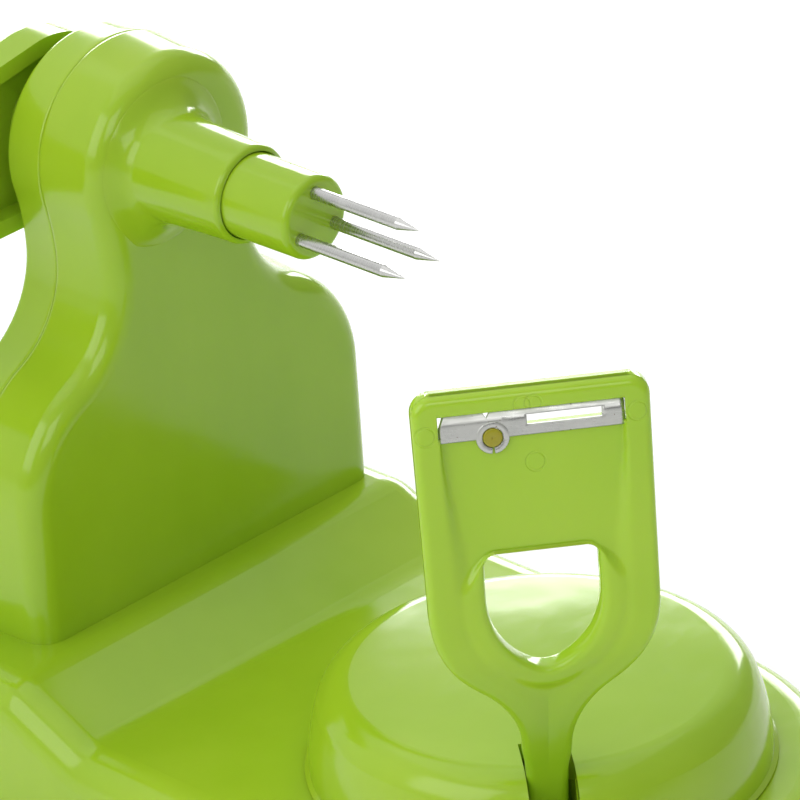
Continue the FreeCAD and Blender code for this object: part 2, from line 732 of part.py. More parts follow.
rear = new_body("post_rear_shell")
extrude(rear, "Pad", "YZ_Plane", [front_outline], rear_depth, -seam, back=True, draft=rear_draft)
dress(rear, "Fillet", rear_round, on_plane_x(-post_rear))
extrude(rear, "Pocket", "YZ_Plane", [post_outline(rear_inset, below - 1)],
        rear_depth - post_wall, -seam)
extrude(rear, "Pad", "YZ_Plane", screw_loops, rear_depth - 0.6, -seam, back=True)
extrude(rear, "Pad", "YZ_Plane", [shelf_loop], rear_depth - post_wall + 0.3, -seam, back=True)
extrude(rear, "Pad", "YZ_Plane", [("circle", 0.0, spindle_height, spindle_radius + 3.5)],
        post_wall + 1.5, -post_rear)
rear_mounts = [("circle", rear_mount_x, y, screw_boss) for y in (mount_low, mount_high)]
extrude(rear, "Pad", "XY_Plane", rear_mounts, mount_boss_height, ledge_top)
extrude(rear, "Pocket", "XY_Plane", [trim_loop], 9.0, ledge_top)
extrude(rear, "Pocket", "YZ_Plane", [("circle", 0.0, spindle_height, spindle_radius + running_gap)],
        rear_depth + 5, -seam)
extrude(rear, "Pocket", "YZ_Plane", [("circle", y, z, screw_radius + 0.1) for y, z in post_screw_places],
        rear_depth + 5, -seam)
extrude(rear, "Pocket", "YZ_Plane", [("circle", y, z, screw_head + 0.1) for y, z in post_screw_places],
        head_thick + 1, -post_rear, back=True)
extrude(rear, "Pocket", "XY_Plane", [("circle", -shaft_x, shaft_y, spindle_radius + running_gap)],
        shaft_top, 0.3, back=True)
extrude(rear, "Pocket", "XY_Plane",
        [("circle", rear_mount_x, y, screw_radius) for y in (mount_low, mount_high)],
        ledge_top + mount_boss_height - 1, 0.0, back=True)

# Screws


def screw_shape(radius, head, thick, length):
    """Return a pan head screw that points along -Z with its head above Z = 0."""
    shank = Part.makeCylinder(float(radius), float(length), ORIGIN, -AXIS_Z)
    cap = Part.makeCylinder(float(head), float(thick))
    upper = [edge for edge in cap.Edges if edge.BoundBox.ZMin > float(thick) / 2]
    cap = cap.makeFillet(float(thick) * 0.4, upper)
    arm = float(head) * 1.2
    slot = Part.makeBox(arm, 0.8, float(thick), Vector(-arm / 2, -0.4, float(thick) * 0.5))
    cross = slot.copy()
    cross.rotate(ORIGIN, AXIS_Z, 90)
    return cap.cut(slot).cut(cross).fuse(shank).removeSplitter()


def screw_group(label, length, places, thick=head_thick):
    """Make one node of equal screws at a list of placements."""
    single = screw_shape(screw_radius, screw_head, thick, length)
    solids = []
    for placement in places:
        solid = single.copy()
        solid.Placement = placement
        solids.append(solid)
    return add_solid(label, Part.makeCompound(solids))


UNDER = Rotation(AXIS_X, 180)
BEHIND = Rotation(AXIS_Y, -90)
cover_head_z = float(base_skirt + low_head)
screw_group("cover_screws", 9.0, [
    Placement(Vector(float(x), float(y), cover_head_z), UNDER) for x, y in cover_screw_places
], low_head)
screw_group("post_mount_screws", float(base_wall) + 7.0, [
    Placement(Vector(float(x), float(y), float(roof_under_ledge)), UNDER) for x, y in mount_places
])
post_head_x = float(-post_rear + head_thick + 1)
screw_group("post_screws", float(rear_depth) + 4.0, [
    Placement(Vector(post_head_x, float(y), float(z)), BEHIND) for y, z in post_screw_places
])

# Spindle, fork and crank

on_spindle = place(z=spindle_height)


def z_rod(label, radius, low, high, x, y):
    """Make a plain round rod along Z between two heights."""
    rod = document.addObject("Part::Cylinder", label)
    rod.Label = label
    length = high - low
    rod.Radius = radius.value
    rod.Height = length.value
    rod.setExpression("Radius", radius.text)
    rod.setExpression("Height", length.text)
    rod.Placement = place(x, y, low)
    nodes[label] = rod
    return rod


hub_front = -(boss_end - hub_reach)
shaft_front = hub_front - prong_seat - 2
shaft_back = -(crank_back - 2)
spindle = new_body("spindle_shaft", on_spindle)
turn(spindle, "Revolution", "XZ_Plane", [[
    (shaft_back, screw_radius),
    (shaft_back + 6, screw_radius),
    (shaft_back + 6, 0.0),
    (shaft_front, 0.0),
    (shaft_front, spindle_radius),
    (shaft_back, spindle_radius),
]], "X_Axis")
spindle.Placement = on_spindle

hub = new_body("fork_hub", on_spindle)
hub_start = -(hub_back - 0.3)
turn(hub, "Revolution", "XZ_Plane", [[
    (hub_start, spindle_radius),
    (shaft_front, spindle_radius),
    (shaft_front, 0.0),
    (hub_front, 0.0),
    (hub_front, hub_radius - 1.4),
    (hub_front - 1.2, hub_radius - 0.2, 1.2, 1),
    (hub_start, hub_radius),
]], "X_Axis")
prong_places = []
for number in range(3):
    turn_angle = math.radians(90 + number * 120)
    prong_places.append((prong_circle * math.cos(turn_angle), prong_circle * math.sin(turn_angle)))
extrude(hub, "Pocket", "YZ_Plane", [("circle", y, z, prong_radius) for y, z in prong_places],
        prong_seat, hub_front - prong_seat, back=True)
hub.Placement = on_spindle

for number, (prong_y, prong_z) in enumerate(prong_places, start=1):
    spot = place(y=prong_y, z=spindle_height + prong_z)
    prong = new_body(f"fork_prong_{number}", spot)
    tip = hub_front + prong_reach
    turn(prong, "Revolution", "XZ_Plane", [[
        (hub_front - prong_seat, 0.0),
        (tip, 0.0),
        (tip - prong_point, prong_radius),
        (hub_front - prong_seat, prong_radius),
    ]], "X_Axis")
    prong.Placement = spot

washer = new_body("spindle_washer", on_spindle)
turn(washer, "Revolution", "XZ_Plane", [[
    (-(crank_front - 0.05), spindle_radius),
    (-(post_rear + 0.15), spindle_radius),
    (-(post_rear + 0.15), spindle_radius + 3),
    (-(crank_front - 0.05), spindle_radius + 3),
]], "X_Axis")
washer.Placement = on_spindle

crank_spot = Placement(Vector(0, 0, float(spindle_height)), Rotation(AXIS_X, float(crank_droop)))
crank = new_body("crank_arm", crank_spot)


def crank_outline(inset):
    """Return two circles joined by their tangents, the small one towards -Y."""
    big = crank_hub - inset
    small = crank_end - inset
    lean = (crank_hub - crank_end) / crank_reach
    level = root(1 - lean * lean)
    return [
        (0.0 - crank_reach - small, 0.0, small, -1),
        (0.0 - crank_reach - small * lean, small * level, small, -1),
        (0.0 - big * lean, big * level),
        (big, 0.0, big, -1),
        (0.0 - big * lean, 0.0 - big * level, big, -1),
        (0.0 - crank_reach - small * lean, 0.0 - small * level),
    ]


extrude(crank, "Pad", "YZ_Plane", [crank_outline(as_size(0.0))], crank_thick, -crank_front, back=True)


def on_crank_back(edge):
    """Choose the outline's edges on the crank's outer face."""
    box = edge.BoundBox
    return near(box.XMin, -crank_back) and near(box.XMax, -crank_back)


dress(crank, "Fillet", 2.2, on_crank_back)
extrude(crank, "Pocket", "YZ_Plane", [crank_outline(crank_rim)], crank_channel, -crank_front)
extrude(crank, "Pad", "YZ_Plane", [
    ("circle", 0.0, 0.0, spindle_radius + 4.5),
    ("circle", -crank_reach, 0.0, pin_radius + 3.5),
], crank_channel + 0.5, -crank_front, back=True)
extrude(crank, "Pocket", "YZ_Plane", [("circle", 0.0, 0.0, spindle_radius)], crank_thick - 2, -crank_front)
extrude(crank, "Pocket", "YZ_Plane", [("circle", 0.0, 0.0, screw_radius + 0.1)], crank_thick, -crank_front)
extrude(crank, "Pocket", "YZ_Plane", [("circle", -crank_reach, 0.0, pin_radius)],
        crank_thick, -crank_front)
crank.Placement = crank_spot

crank_screw = screw_shape(screw_radius, screw_head + 1, head_thick, 8.0)
add_solid("crank_screw", crank_screw, Placement(
    Vector(float(-crank_back), 0, float(spindle_height)), Rotation(AXIS_Y, -90)))

# Knob

crank_lean = math.radians(float(crank_droop))
knob_y = -float(crank_reach) * math.cos(crank_lean)
knob_z = float(spindle_height) - float(crank_reach) * math.sin(crank_lean)
knob_spot = place(y=knob_y, z=knob_z)
knob_start = -(crank_back + knob_gap)
knob_end = knob_start - knob_length
pin_head = 2.0
pin_end = knob_end + 4.5
knob_pin = new_body("knob_pin", knob_spot)
turn(knob_pin, "Revolution", "XZ_Plane", [[
    (pin_end, 0.0),
    (0.0 - crank_front - 0.5, 0.0),
    (0.0 - crank_front - 0.5, pin_radius),
    (pin_end + pin_head, pin_radius),
    (pin_end + pin_head, pin_radius + 1.8),
    (pin_end, pin_radius + 1.8),
]], "X_Axis")
knob_pin.Placement = knob_spot

knob = new_body("crank_knob", knob_spot)
knob_bore = pin_radius + running_gap
cap_bore = pin_radius + 3
turn(knob, "Revolution", "XZ_Plane", [[
    (knob_start, knob_bore),
    (knob_start, knob_root - 1.5),
    (knob_start - 1.5, knob_root, 1.5, 1),
    (knob_start - knob_length * 0.62, knob_belly, 58.0, 1),
    (knob_end + 3.5, knob_belly - 2.2, 14.0, 1),
    (knob_end, knob_belly - 6, 5.0, 1),
    (knob_end, cap_bore - 0.8),
    (knob_end + 1.6, cap_bore - 0.8),
    (knob_end + 1.6, cap_bore),
    (pin_end + pin_head + 0.2, cap_bore),
    (pin_end + pin_head + 0.2, knob_bore),
]], "X_Axis")
knob.Placement = knob_spot

knob_cap = new_body("knob_cap", knob_spot)
turn(knob_cap, "Revolution", "XZ_Plane", [[
    (knob_end - 0.4, 0.0),
    (knob_end + 1.6, 0.0),
    (knob_end + 1.6, cap_bore - 0.85),
    (knob_end, cap_bore - 0.85),
    (knob_end - 0.4, cap_bore - 1.6),
]], "X_Axis")
knob_cap.Placement = knob_spot

# Gears

def tooth_points(teeth, module, pitch_radius, thin, pressure=20.0, tip_share=0.95):
    """Return half a tooth's flank as (radius, half angle), from root to tip."""
    base_radius = pitch_radius * math.cos(math.radians(pressure))
    root_radius = pitch_radius - 1.25 * module
    tip_radius_here = pitch_radius + tip_share * module
    half_pitch = math.pi / (2 * teeth) - thin / (2 * pitch_radius)

    def involute(radius):
        """Return the involute function's angle at a radius."""
        slope = math.sqrt(max((radius / base_radius) ** 2 - 1, 0.0))
        return slope - math.atan(slope)

    start = max(base_radius, root_radius)
    at_pitch = involute(pitch_radius)
    flank = [(root_radius, half_pitch + at_pitch - involute(start))]
    steps = 3
    for step in range(steps + 1):
        radius = start + (tip_radius_here - start) * step / steps
        flank.append((radius, half_pitch + at_pitch - involute(radius)))
    return flank


def gear_wire(teeth, module, thin, phase, height, tip_share=0.95):
    """Return the closed outline of a gear with a tooth centred on the phase angle."""
    flank = tooth_points(teeth, module, module * teeth / 2, thin, tip_share=tip_share)
    points = []
    for tooth in range(int(teeth)):
        middle = phase + 2 * math.pi * tooth / teeth
        for radius, half in flank:
            points.append(Vector(radius * math.cos(middle - half), radius * math.sin(middle - half), height))
        for radius, half in reversed(flank):
            points.append(Vector(radius * math.cos(middle + half), radius * math.sin(middle + half), height))
    points.append(points[0])
    return Part.makePolygon(points)


def flat_gear(teeth, phase, x, y):
    """Return a spur gear's disc at a place, between the gears' two heights."""
    wire = gear_wire(float(teeth), float(gear_module), float(tooth_play), phase, float(gear_low))
    disc = Part.Face(wire).extrude(AXIS_Z * float(gear_width))
    disc.translate(Vector(float(x), float(y), 0))
    return disc


def meshing_phase(first_teeth, first_phase, second_teeth, heading):
    """Return the phase that sets a gap of the second gear on a tooth of the first."""
    share = ((heading - first_phase) * first_teeth / (2 * math.pi)) % 1.0
    return heading + math.pi - (0.5 - share) * 2 * math.pi / second_teeth


def upright_tube(outer, inner, low, high, x, y):
    """Return a tube along Z."""
    tube = Part.makeCylinder(float(outer), float(high - low), Vector(float(x), float(y), float(low)))
    bore = Part.makeCylinder(float(inner), float(high - low) + 2, Vector(float(x), float(y), float(low) - 1))
    return tube.cut(bore)


pinion_phase = 0.0
to_idler = math.atan2(float(idler_y) - float(shaft_y), float(idler_x) + float(shaft_x))
idler_phase = meshing_phase(float(pinion_teeth), pinion_phase, float(idler_teeth), to_idler)
to_table = math.atan2(-float(idler_y), -float(idler_x))
table_phase = meshing_phase(float(idler_teeth), idler_phase, float(table_teeth), to_table)
web = 2.2

pinion_disc = flat_gear(pinion_teeth, pinion_phase, -shaft_x, shaft_y)
pinion_sleeve = upright_tube(spindle_radius + 2.5, spindle_radius, gear_low, gear_high + 3, -shaft_x, shaft_y)
pinion_bore = Part.makeCylinder(float(spindle_radius), 60.0, Vector(float(-shaft_x), float(shaft_y), 0))
add_solid("drive_pinion", pinion_disc.cut(pinion_bore).fuse(pinion_sleeve).removeSplitter())


def lightened(disc, rim, hub_size, x, y):
    """Hollow a gear's disc on both sides between its rim and its hub."""
    depth = (float(gear_width) - web) / 2
    for low in (float(gear_low) - 1, float(gear_high) - depth):
        ring = upright_tube(rim, hub_size, as_size(low), as_size(low + depth + 1), x, y)
        disc = disc.cut(ring)
    return disc


idler_disc = lightened(flat_gear(idler_teeth, idler_phase, idler_x, idler_y),
                       idler_pitch - 4, pin_radius + 4, idler_x, idler_y)
idler_sleeve = upright_tube(pin_radius + 3, pin_radius + running_gap, gear_low - 0.9, gear_high + 0.9,
                            idler_x, idler_y)
idler_bore = Part.makeCylinder(float(pin_radius + running_gap), 60.0,
                               Vector(float(idler_x), float(idler_y), 0))
add_solid("idler_gear", idler_disc.cut(idler_bore).fuse(idler_sleeve).removeSplitter())

table_disc = lightened(flat_gear(table_teeth, table_phase, 0.0, 0.0),
                       table_pitch - 5, key_half + 5.5, 0.0, 0.0)
key_side = float(key_half) * 2 + 0.1
key_room = Part.makeBox(key_side, key_side, 60.0, Vector(-key_side / 2, -key_side / 2, 0))
key_room.rotate(ORIGIN, AXIS_Z, float(arm_angle))
add_solid("table_gear", table_disc.cut(key_room).removeSplitter())

z_rod("idler_pin", pin_radius, cover_top - cover_thick + 0.8, gear_high + 3.0, idler_x, idler_y)
z_rod("drive_shaft", spindle_radius, cover_top - cover_thick + 1.0, shaft_top, -shaft_x, shaft_y)

# Worm and worm wheel

lead_slope = float(worm_module) / (2 * float(worm_radius))


def worm_shape():
    """Return a one start right hand worm along Z with the middle of its thread at Z = 0."""
    pitch = math.pi * float(worm_module)
    root_here = float(worm_radius) - 1.25 * float(worm_module)
    tip_here = float(worm_radius) + 0.9 * float(worm_module)
    turns = math.ceil(float(worm_length) / pitch) + 2
    slope = math.tan(math.radians(20))
    half = pitch / 4 - float(tooth_play) / 2
    inner = root_here - 0.4
    foot = half + (float(worm_radius) - inner) * slope
    crest = half - (tip_here - float(worm_radius)) * slope
    start = -pitch * turns / 2
    corners = [
        Vector(inner, 0, start - foot),
        Vector(tip_here, 0, start - crest),
        Vector(tip_here, 0, start + crest),
        Vector(inner, 0, start + foot),
        Vector(inner, 0, start - foot),
    ]
    path = Part.makeHelix(pitch, pitch * turns, float(worm_radius))
    path.translate(Vector(0, 0, start))
    thread = Part.Wire(path).makePipeShell([Part.makePolygon(corners)], True, True)
    length = float(worm_length)
    core = Part.makeCylinder(root_here, length, Vector(0, 0, -length / 2))
    limit = Part.makeCylinder(tip_here + 1, length, Vector(0, 0, -length / 2))
    worm = thread.common(limit).fuse(core)
    bore = Part.makeCylinder(float(spindle_radius), length + 2, Vector(0, 0, -length / 2 - 1))
    return worm.cut(bore)


def z_to_x():
    """Return the turn that lays +Z along +X and +X along +Y."""
    return Rotation(AXIS_Y, AXIS_Z, AXIS_X, "XYZ")


whole_turns = math.ceil(float(worm_length) / (math.pi * float(worm_module))) + 2
worm_start_turn = 180.0 * (whole_turns % 2)
worm_solid = worm_shape()
worm_solid.rotate(ORIGIN, AXIS_Z, worm_start_turn)
add_solid("worm", worm_solid, Placement(Vector(float(-shaft_x), 0, float(spindle_height)), z_to_x()))


def wheel_shape():
    """Return the worm wheel, its teeth twisted to follow the worm's thread."""
    half = float(wheel_width) / 2
    wires = []
    for height in (-half, 0.0, half):
        turned = math.radians(-90) + lead_slope * height * 2 / float(worm_module * wheel_teeth)
        wires.append(gear_wire(float(wheel_teeth), float(worm_module), float(tooth_play) * 1.5, turned,
                               height, tip_share=0.85))
    disc = Part.makeLoft(wires, True, True)
    hub_tube = Part.makeCylinder(float(spindle_radius) + 1.6, float(wheel_width) + 3, Vector(0, 0, -half - 3))
    bore = Part.makeCylinder(float(spindle_radius), 40.0, Vector(0, 0, -20))
    return disc.fuse(hub_tube).cut(bore)


add_solid("worm_wheel", wheel_shape(), place(-shaft_x, shaft_y, spindle_height))

# Turntable

on_heading = place(angle=arm_angle)
pivot_z = floor_top + pivot_rise
dome_top = floor_top + dome_height
shoulder_top = dome_top - dome_crown
crown_radius = (dome_flat * dome_flat + dome_crown * dome_crown) / (2 * dome_crown)
bend_x = dome_flat - dome_round * dome_flat / crown_radius
bend_z = shoulder_top - dome_round * (crown_radius - dome_crown) / crown_radius
roof_z = bend_z + dome_round - dome_wall
bevel = 0.7
side_x = dome_radius - bevel
side_top = floor_top + dome_side
side_run = side_x - bend_x
side_rise = bend_z - side_top
side_square = side_run * side_run + side_rise * side_rise
side_radius = (side_square - dome_round * dome_round) / (2 * (side_run - dome_round))
side_middle = side_x - side_radius
meet_part = side_radius / (side_radius - dome_round)
meet_x = side_middle + (bend_x - side_middle) * meet_part
meet_z = side_top + side_rise * meet_part
inner_part = (side_radius - dome_wall) / (side_radius - dome_round)
inner_x = side_middle + (bend_x - side_middle) * inner_part
inner_z = side_top + side_rise * inner_part

dome = new_body("turntable_dome", on_heading)
turn(dome, "Revolution", "XZ_Plane", [[
    (0.0, gear_high),
    (bearing_radius, gear_high),
    (bearing_radius, floor_top + 0.8),
    (bearing_radius + 1.6, floor_top + 0.8),
    (bearing_radius + 1.6, roof_z),
    (bend_x, roof_z),
    (inner_x, inner_z, dome_round - dome_wall, -1),
    (side_x - dome_wall, side_top, side_radius - dome_wall, -1),
    (side_x - dome_wall, floor_top + dome_gap),
    (dome_radius, floor_top + dome_gap),
    (side_x, side_top),
    (meet_x, meet_z, side_radius, 1),
    (dome_flat, shoulder_top, dome_round, 1),
    (0.0, dome_top, crown_radius, 1),
]], "Z_Axis")
extrude(dome, "Pad", "XY_Plane", [[
    (key_half, key_half),
    (-key_half, key_half),
    (-key_half, -key_half),
    (key_half, -key_half),
]], gear_width - 0.1, gear_high, back=True)
rib_loop = [
    (pivot_reach - 4.5, pivot_z - 3.4),
    (pivot_reach + 4.5, pivot_z - 3.4),
    (pivot_reach + 5.8, pivot_z + 3.0),
    (pivot_reach + 3.0, roof_z - 0.6),
    (pivot_reach + 1.0, roof_z + 0.5),
    (pivot_reach - 4.5, roof_z + 0.5),
]
rib_thick = 2.4
slot_right = slot_half - slot_offset
slot_left = slot_half + slot_offset
spring_room = 5.6
extrude(dome, "Pad", "XZ_Plane", [rib_loop], rib_thick, -(slot_right + rib_thick))
extrude(dome, "Pad", "XZ_Plane", [rib_loop], rib_thick, slot_left + spring_room)
extrude(dome, "Pocket", "XY_Plane", [[
    (slot_start, -slot_left),
    (dome_radius + 3, -slot_left),
    (dome_radius + 3, slot_right),
    (slot_start, slot_right),
]], dome_height + 3, floor_top - 1, back=True)
pin_low = slot_left + spring_room + rib_thick
extrude(dome, "Pocket", "XZ_Plane", [("circle", pivot_reach, pivot_z, pivot_radius)],
        pin_low * 2, 0.0, back=None)
extrude(dome, "Pocket", "XY_Plane", [("circle", 0.0, 0.0, screw_radius)], gear_width + 8, gear_low, back=True)
dome.Placement = on_heading

pivot_pin = document.addObject("Part::Cylinder", "arm_pivot_pin")
pivot_pin.Label = "arm_pivot_pin"
pivot_length = slot_right + pin_low + rib_thick
pivot_pin.Radius = pivot_radius.value
pivot_pin.setExpression("Radius", pivot_radius.text)
pivot_pin.Height = pivot_length.value
pivot_pin.setExpression("Height", pivot_length.text)
pin_start = place(pivot_reach, -pin_low, pivot_z, AXIS_X, -90)
pivot_pin.Placement = on_heading.multiply(pin_start)
nodes["arm_pivot_pin"] = pivot_pin

table_washer = document.addObject("Part::Cut", "table_washer")
table_washer.Label = "table_washer"
washer_disc = document.addObject("Part::Cylinder", "table_washer_disc")
washer_disc.Radius = 8.0
washer_disc.setExpression("Radius", (key_half + 3.5).text)
washer_disc.Height = 1.0
washer_disc.Placement = place(z=gear_low - 1)
washer_hole = document.addObject("Part::Cylinder", "table_washer_hole")
washer_hole.Radius = 1.6
washer_hole.setExpression("Radius", (screw_radius + 0.1).text)
washer_hole.Height = 3.0
washer_hole.Placement = place(z=gear_low - 2)
table_washer.Base = washer_disc
table_washer.Tool = washer_hole
nodes["table_washer"] = table_washer
table_screw = screw_shape(screw_radius, screw_head, head_thick, 12.0)
add_solid("table_screw", table_screw, Placement(Vector(0, 0, float(gear_low) - 1), UNDER))

# Arm spring

def spring_shape():
    """Return the torsion spring on the arm's pivot: a coil along Y with two straight legs."""
    wire = 0.45
    coil = 2.7
    turns = 3.5
    pitch = 1.25
    leg = 3.2
    steps = 12
    start = -(float(slot_left) + float(spring_room) - 0.6)
    pivot = Vector(float(pivot_reach), start, float(pivot_z))
    points = []
    count = math.ceil(turns * steps)
    for step in range(count + 1):
        angle = 2 * math.pi * turns * step / count
        along_pin = pitch * angle / (2 * math.pi)
        points.append(pivot + Vector(-coil * math.cos(angle), along_pin, -coil * math.sin(angle)))
    first_leg = [points[0] + AXIS_Z * (leg * share) for share in (1.0, 0.66, 0.33)]
    last_leg = [points[-1] + AXIS_Z * (leg * share) for share in (0.33, 0.66, 1.0)]
    path = Part.BSplineCurve()
    path.interpolate(first_leg + points + last_leg)
    spine = Part.Wire(path.toShape())
    profile = Part.Wire(Part.makeCircle(wire, first_leg[0], AXIS_Z))
    return spine.makePipeShell([profile], True, False)


add_solid("arm_spring", spring_shape(), on_heading)

# Arm

on_arm = on_heading.multiply(place(y=-arm_offset))
half_thick = arm_thick / 2
knee_z = floor_top + knee_rise
rise = knee_z - pivot_z
run = knee_reach - pivot_reach
lower_length = root(run * run + rise * rise)
low_x = run / lower_length
low_z = rise / lower_length
up_x = -sine(head_lean)
up_z = cosine(head_lean)
bend_cosine = low_x * up_x + low_z * up_z
bend_length = knee_radius * root((1 - bend_cosine) / (1 + bend_cosine))
head_length = (head_top - knee_rise) / up_z


def lower_point(distance, side):
    """Return a point beside the arm's lower leg, a distance below the knee."""
    return (knee_reach - low_x * distance + low_z * side, knee_z - low_z * distance - low_x * side)


def upper_point(distance, side):
    """Return a point beside the arm's head, a distance above the knee."""
    return (knee_reach + up_x * distance + up_z * side, knee_z + up_z * distance - up_x * side)


def arm_side():
    """Return the arm's side outline, a strip bent at the knee."""
    outer_end = upper_point(bend_length, half_thick)
    inner_end = lower_point(bend_length, -half_thick)
    return [
        lower_point(lower_length, -half_thick),
        lower_point(lower_length, half_thick),
        lower_point(bend_length, half_thick),
        (outer_end[0], outer_end[1], knee_radius + half_thick, 1),
        upper_point(head_length, half_thick),
        upper_point(head_length, -half_thick),
        upper_point(bend_length, -half_thick),
        (inner_end[0], inner_end[1], knee_radius - half_thick, -1),
    ]


def arm_front():
    """Return the arm's front outline: head, shoulders and neck."""
    shoulder_z = floor_top + arm_shoulder
    neck_z = floor_top + neck_top
    foot_z = pivot_z - eye_radius - 2
    slot_top = floor_top + dome_height
    top_z = floor_top + head_top
    widening = arm_low_half - neck_half
    fall = shoulder_z - neck_z
    both = (widening * widening + fall * fall) / (2 * widening)
    hollow = both - shoulder_radius
    part = hollow / both
    bend_y = neck_half + hollow - (both - widening) * part
    bend_z = neck_z + fall * part
    return [
        (foot_width_half, foot_z),
        (foot_width_half, slot_top),
        (neck_half, neck_z),
        (bend_y, bend_z, hollow, -1),
        (arm_low_half, shoulder_z, shoulder_radius, 1),
        (arm_half, top_z - arm_corner),
        (arm_half - arm_corner, top_z, arm_corner, 1),
        (arm_corner - arm_half, top_z),
        (-arm_half, top_z - arm_corner, arm_corner, 1),
        (-arm_low_half, shoulder_z),
        (-bend_y, bend_z, shoulder_radius, 1),
        (-neck_half, neck_z, hollow, -1),
        (-foot_width_half, slot_top),
        (-foot_width_half, foot_z),
    ]


def hole_outline():
    """Return the arm's hole: flat top, upright sides and a round tip below."""
    top_z = floor_top + hole_top
    side_z = top_z - hole_straight
    tip_z = floor_top + hole_tip
    drop = side_z - tip_z - tip_radius
    side = (hole_half * hole_half + drop * drop - tip_radius * tip_radius) / (2 * (hole_half - tip_radius))
    part = tip_radius / (side - tip_radius)
    touch_y = (side - hole_half) * part
    touch_z = tip_z + tip_radius - drop * part
    return [
        (hole_half, side_z, side, 1),
        (hole_half, top_z - hole_corner),
        (hole_half - hole_corner, top_z, hole_corner, 1),
        (hole_corner - hole_half, top_z),
        (-hole_half, top_z - hole_corner, hole_corner, 1),
        (-hole_half, side_z),
        (-touch_y, touch_z, side, 1),
        (touch_y, touch_z, tip_radius, 1),
    ]


def along_head(height):
    """Return the distance above the knee of a height above the floor on the arm's head."""
    return (height - knee_rise) / up_z


def head_block(low, high, inner, outer):
    """Return a four-sided side outline on the head, between two heights and two depths."""
    return [
        upper_point(along_head(low), inner),
        upper_point(along_head(low), outer),
        upper_point(along_head(high), outer),
        upper_point(along_head(high), inner),
    ]


arm = new_body("peeler_arm", on_arm)
extrude(arm, "Pad", "XZ_Plane", [arm_side()], (arm_half + 1) * 2, 0.0, back=None)
frame_low = floor_top - 4
frame_high = floor_top + head_top + 4
extrude(arm, "Pocket", "YZ_Plane", [[
    (arm_half + 4, frame_low),
    (arm_half + 4, frame_high),
    (-(arm_half + 4), frame_high),
    (-(arm_half + 4), frame_low),
], arm_front()], 50.0, 65.0)
extrude(arm, "Pad", "XZ_Plane", [("circle", pivot_reach, pivot_z, eye_radius)],
        foot_width_half * 2, 0.0, back=None)
extrude(arm, "Pocket", "XZ_Plane", [("circle", pivot_reach, pivot_z, pivot_radius + running_gap)],
        foot_width_half * 2 + 2, 0.0, back=None)
recess_floor = half_thick - recess_depth
window_top = head_top - bar_height
run_out = 5.0
extrude(arm, "Pocket", "XZ_Plane", [[
    upper_point(along_head(recess_bottom), half_thick + 0.02),
    upper_point(along_head(window_top), half_thick + 3),
    upper_point(along_head(window_top), recess_floor),
    upper_point(along_head(recess_bottom + run_out), recess_floor),
]], (arm_half - rail_width) * 2, 0.0, back=None)
extrude(arm, "Pocket", "XZ_Plane", [
    head_block(window_top - window_height, window_top, -arm_thick, arm_thick),
], (arm_half - rail_width - blade_ledge) * 2, 0.0, back=None)
extrude(arm, "Pocket", "YZ_Plane", [hole_outline()], 50.0, 65.0)
peg_height = window_top - blade_height
peg = arm.newObject("PartDesign::AdditiveCylinder", "peeler_arm_peg")
peg.Radius = peg_radius.value
peg.setExpression("Radius", peg_radius.text)
peg.Height = 1.5
peg_foot = upper_point(along_head(peg_height), recess_floor - 0.5)
peg_rise = as_size(90) - head_lean
peg.Placement = place(peg_foot[0], -peg_side, peg_foot[1], AXIS_Y, peg_rise)
peg.recompute()
arm.Placement = on_arm

# Blade

blade_top = upper_point(along_head(window_top), recess_floor)
on_head = on_arm.multiply(place(blade_top[0], 0.0, blade_top[1], AXIS_Y, peg_rise))
blade = new_body("peeler_blade", on_head)
blade_half = arm_half - rail_width - blade_play
blade_low = blade_height + blade_play
tab_drop = blade_height / up_z
slit_top = blade_height / 2 - slit_height / 2
extrude(blade, "Pad", "XY_Plane", [[
    (blade_low, blade_half - 1.2),
    (blade_play + 1.2, blade_half),
    (blade_play, blade_half),
    (blade_play, -blade_half),
    (blade_low, -blade_half),
]], blade_thick)
extrude(blade, "Pad", "XY_Plane", [("circle", tab_drop, -peg_side, tab_radius)], blade_thick)
extrude(blade, "Pocket", "XY_Plane", [
    ("circle", tab_drop, -peg_side, peg_radius),
    [
        (slit_top, slit_side + slit_half),
        (slit_top, slit_side - slit_half),
        (slit_top + slit_height, slit_side - slit_half),
        (slit_top + slit_height, slit_side + slit_half),
    ],
], blade_thick + 2, -1.0, back=True)
blade.Placement = on_head

# The origin goes under the middle of the whole outline

document.recompute()
for item in document.Objects:
    if {"Invalid", "Error"} & set(item.State):
        raise RuntimeError(f"{item.Label} is not in order: {item.State}")
knob_far_end = 0.4 - knob_end
knob_far_side = knob_belly - knob_y
middle_x = (base_half - knob_far_end) / 2
middle_y = (base_half - knob_far_side) / 2
to_middle = place(-middle_x, -middle_y)
for item in nodes.values():
    item.Placement = to_middle.multiply(item.Placement)

# Export

os.makedirs("parts", exist_ok=True)
for label, item in nodes.items():
    shape = item.Shape
    if shape.isNull() or not shape.isValid():
        raise RuntimeError(f"{label} has no valid shape")
    shape.exportStep(f"parts/{label}.step")
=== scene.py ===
"""Hand cranked peeler on suction cups: moulded lime plastic, steel blade and fork, studio light."""

import json
import math

import bpy
import numpy as np
from mathutils import Matrix, Vector


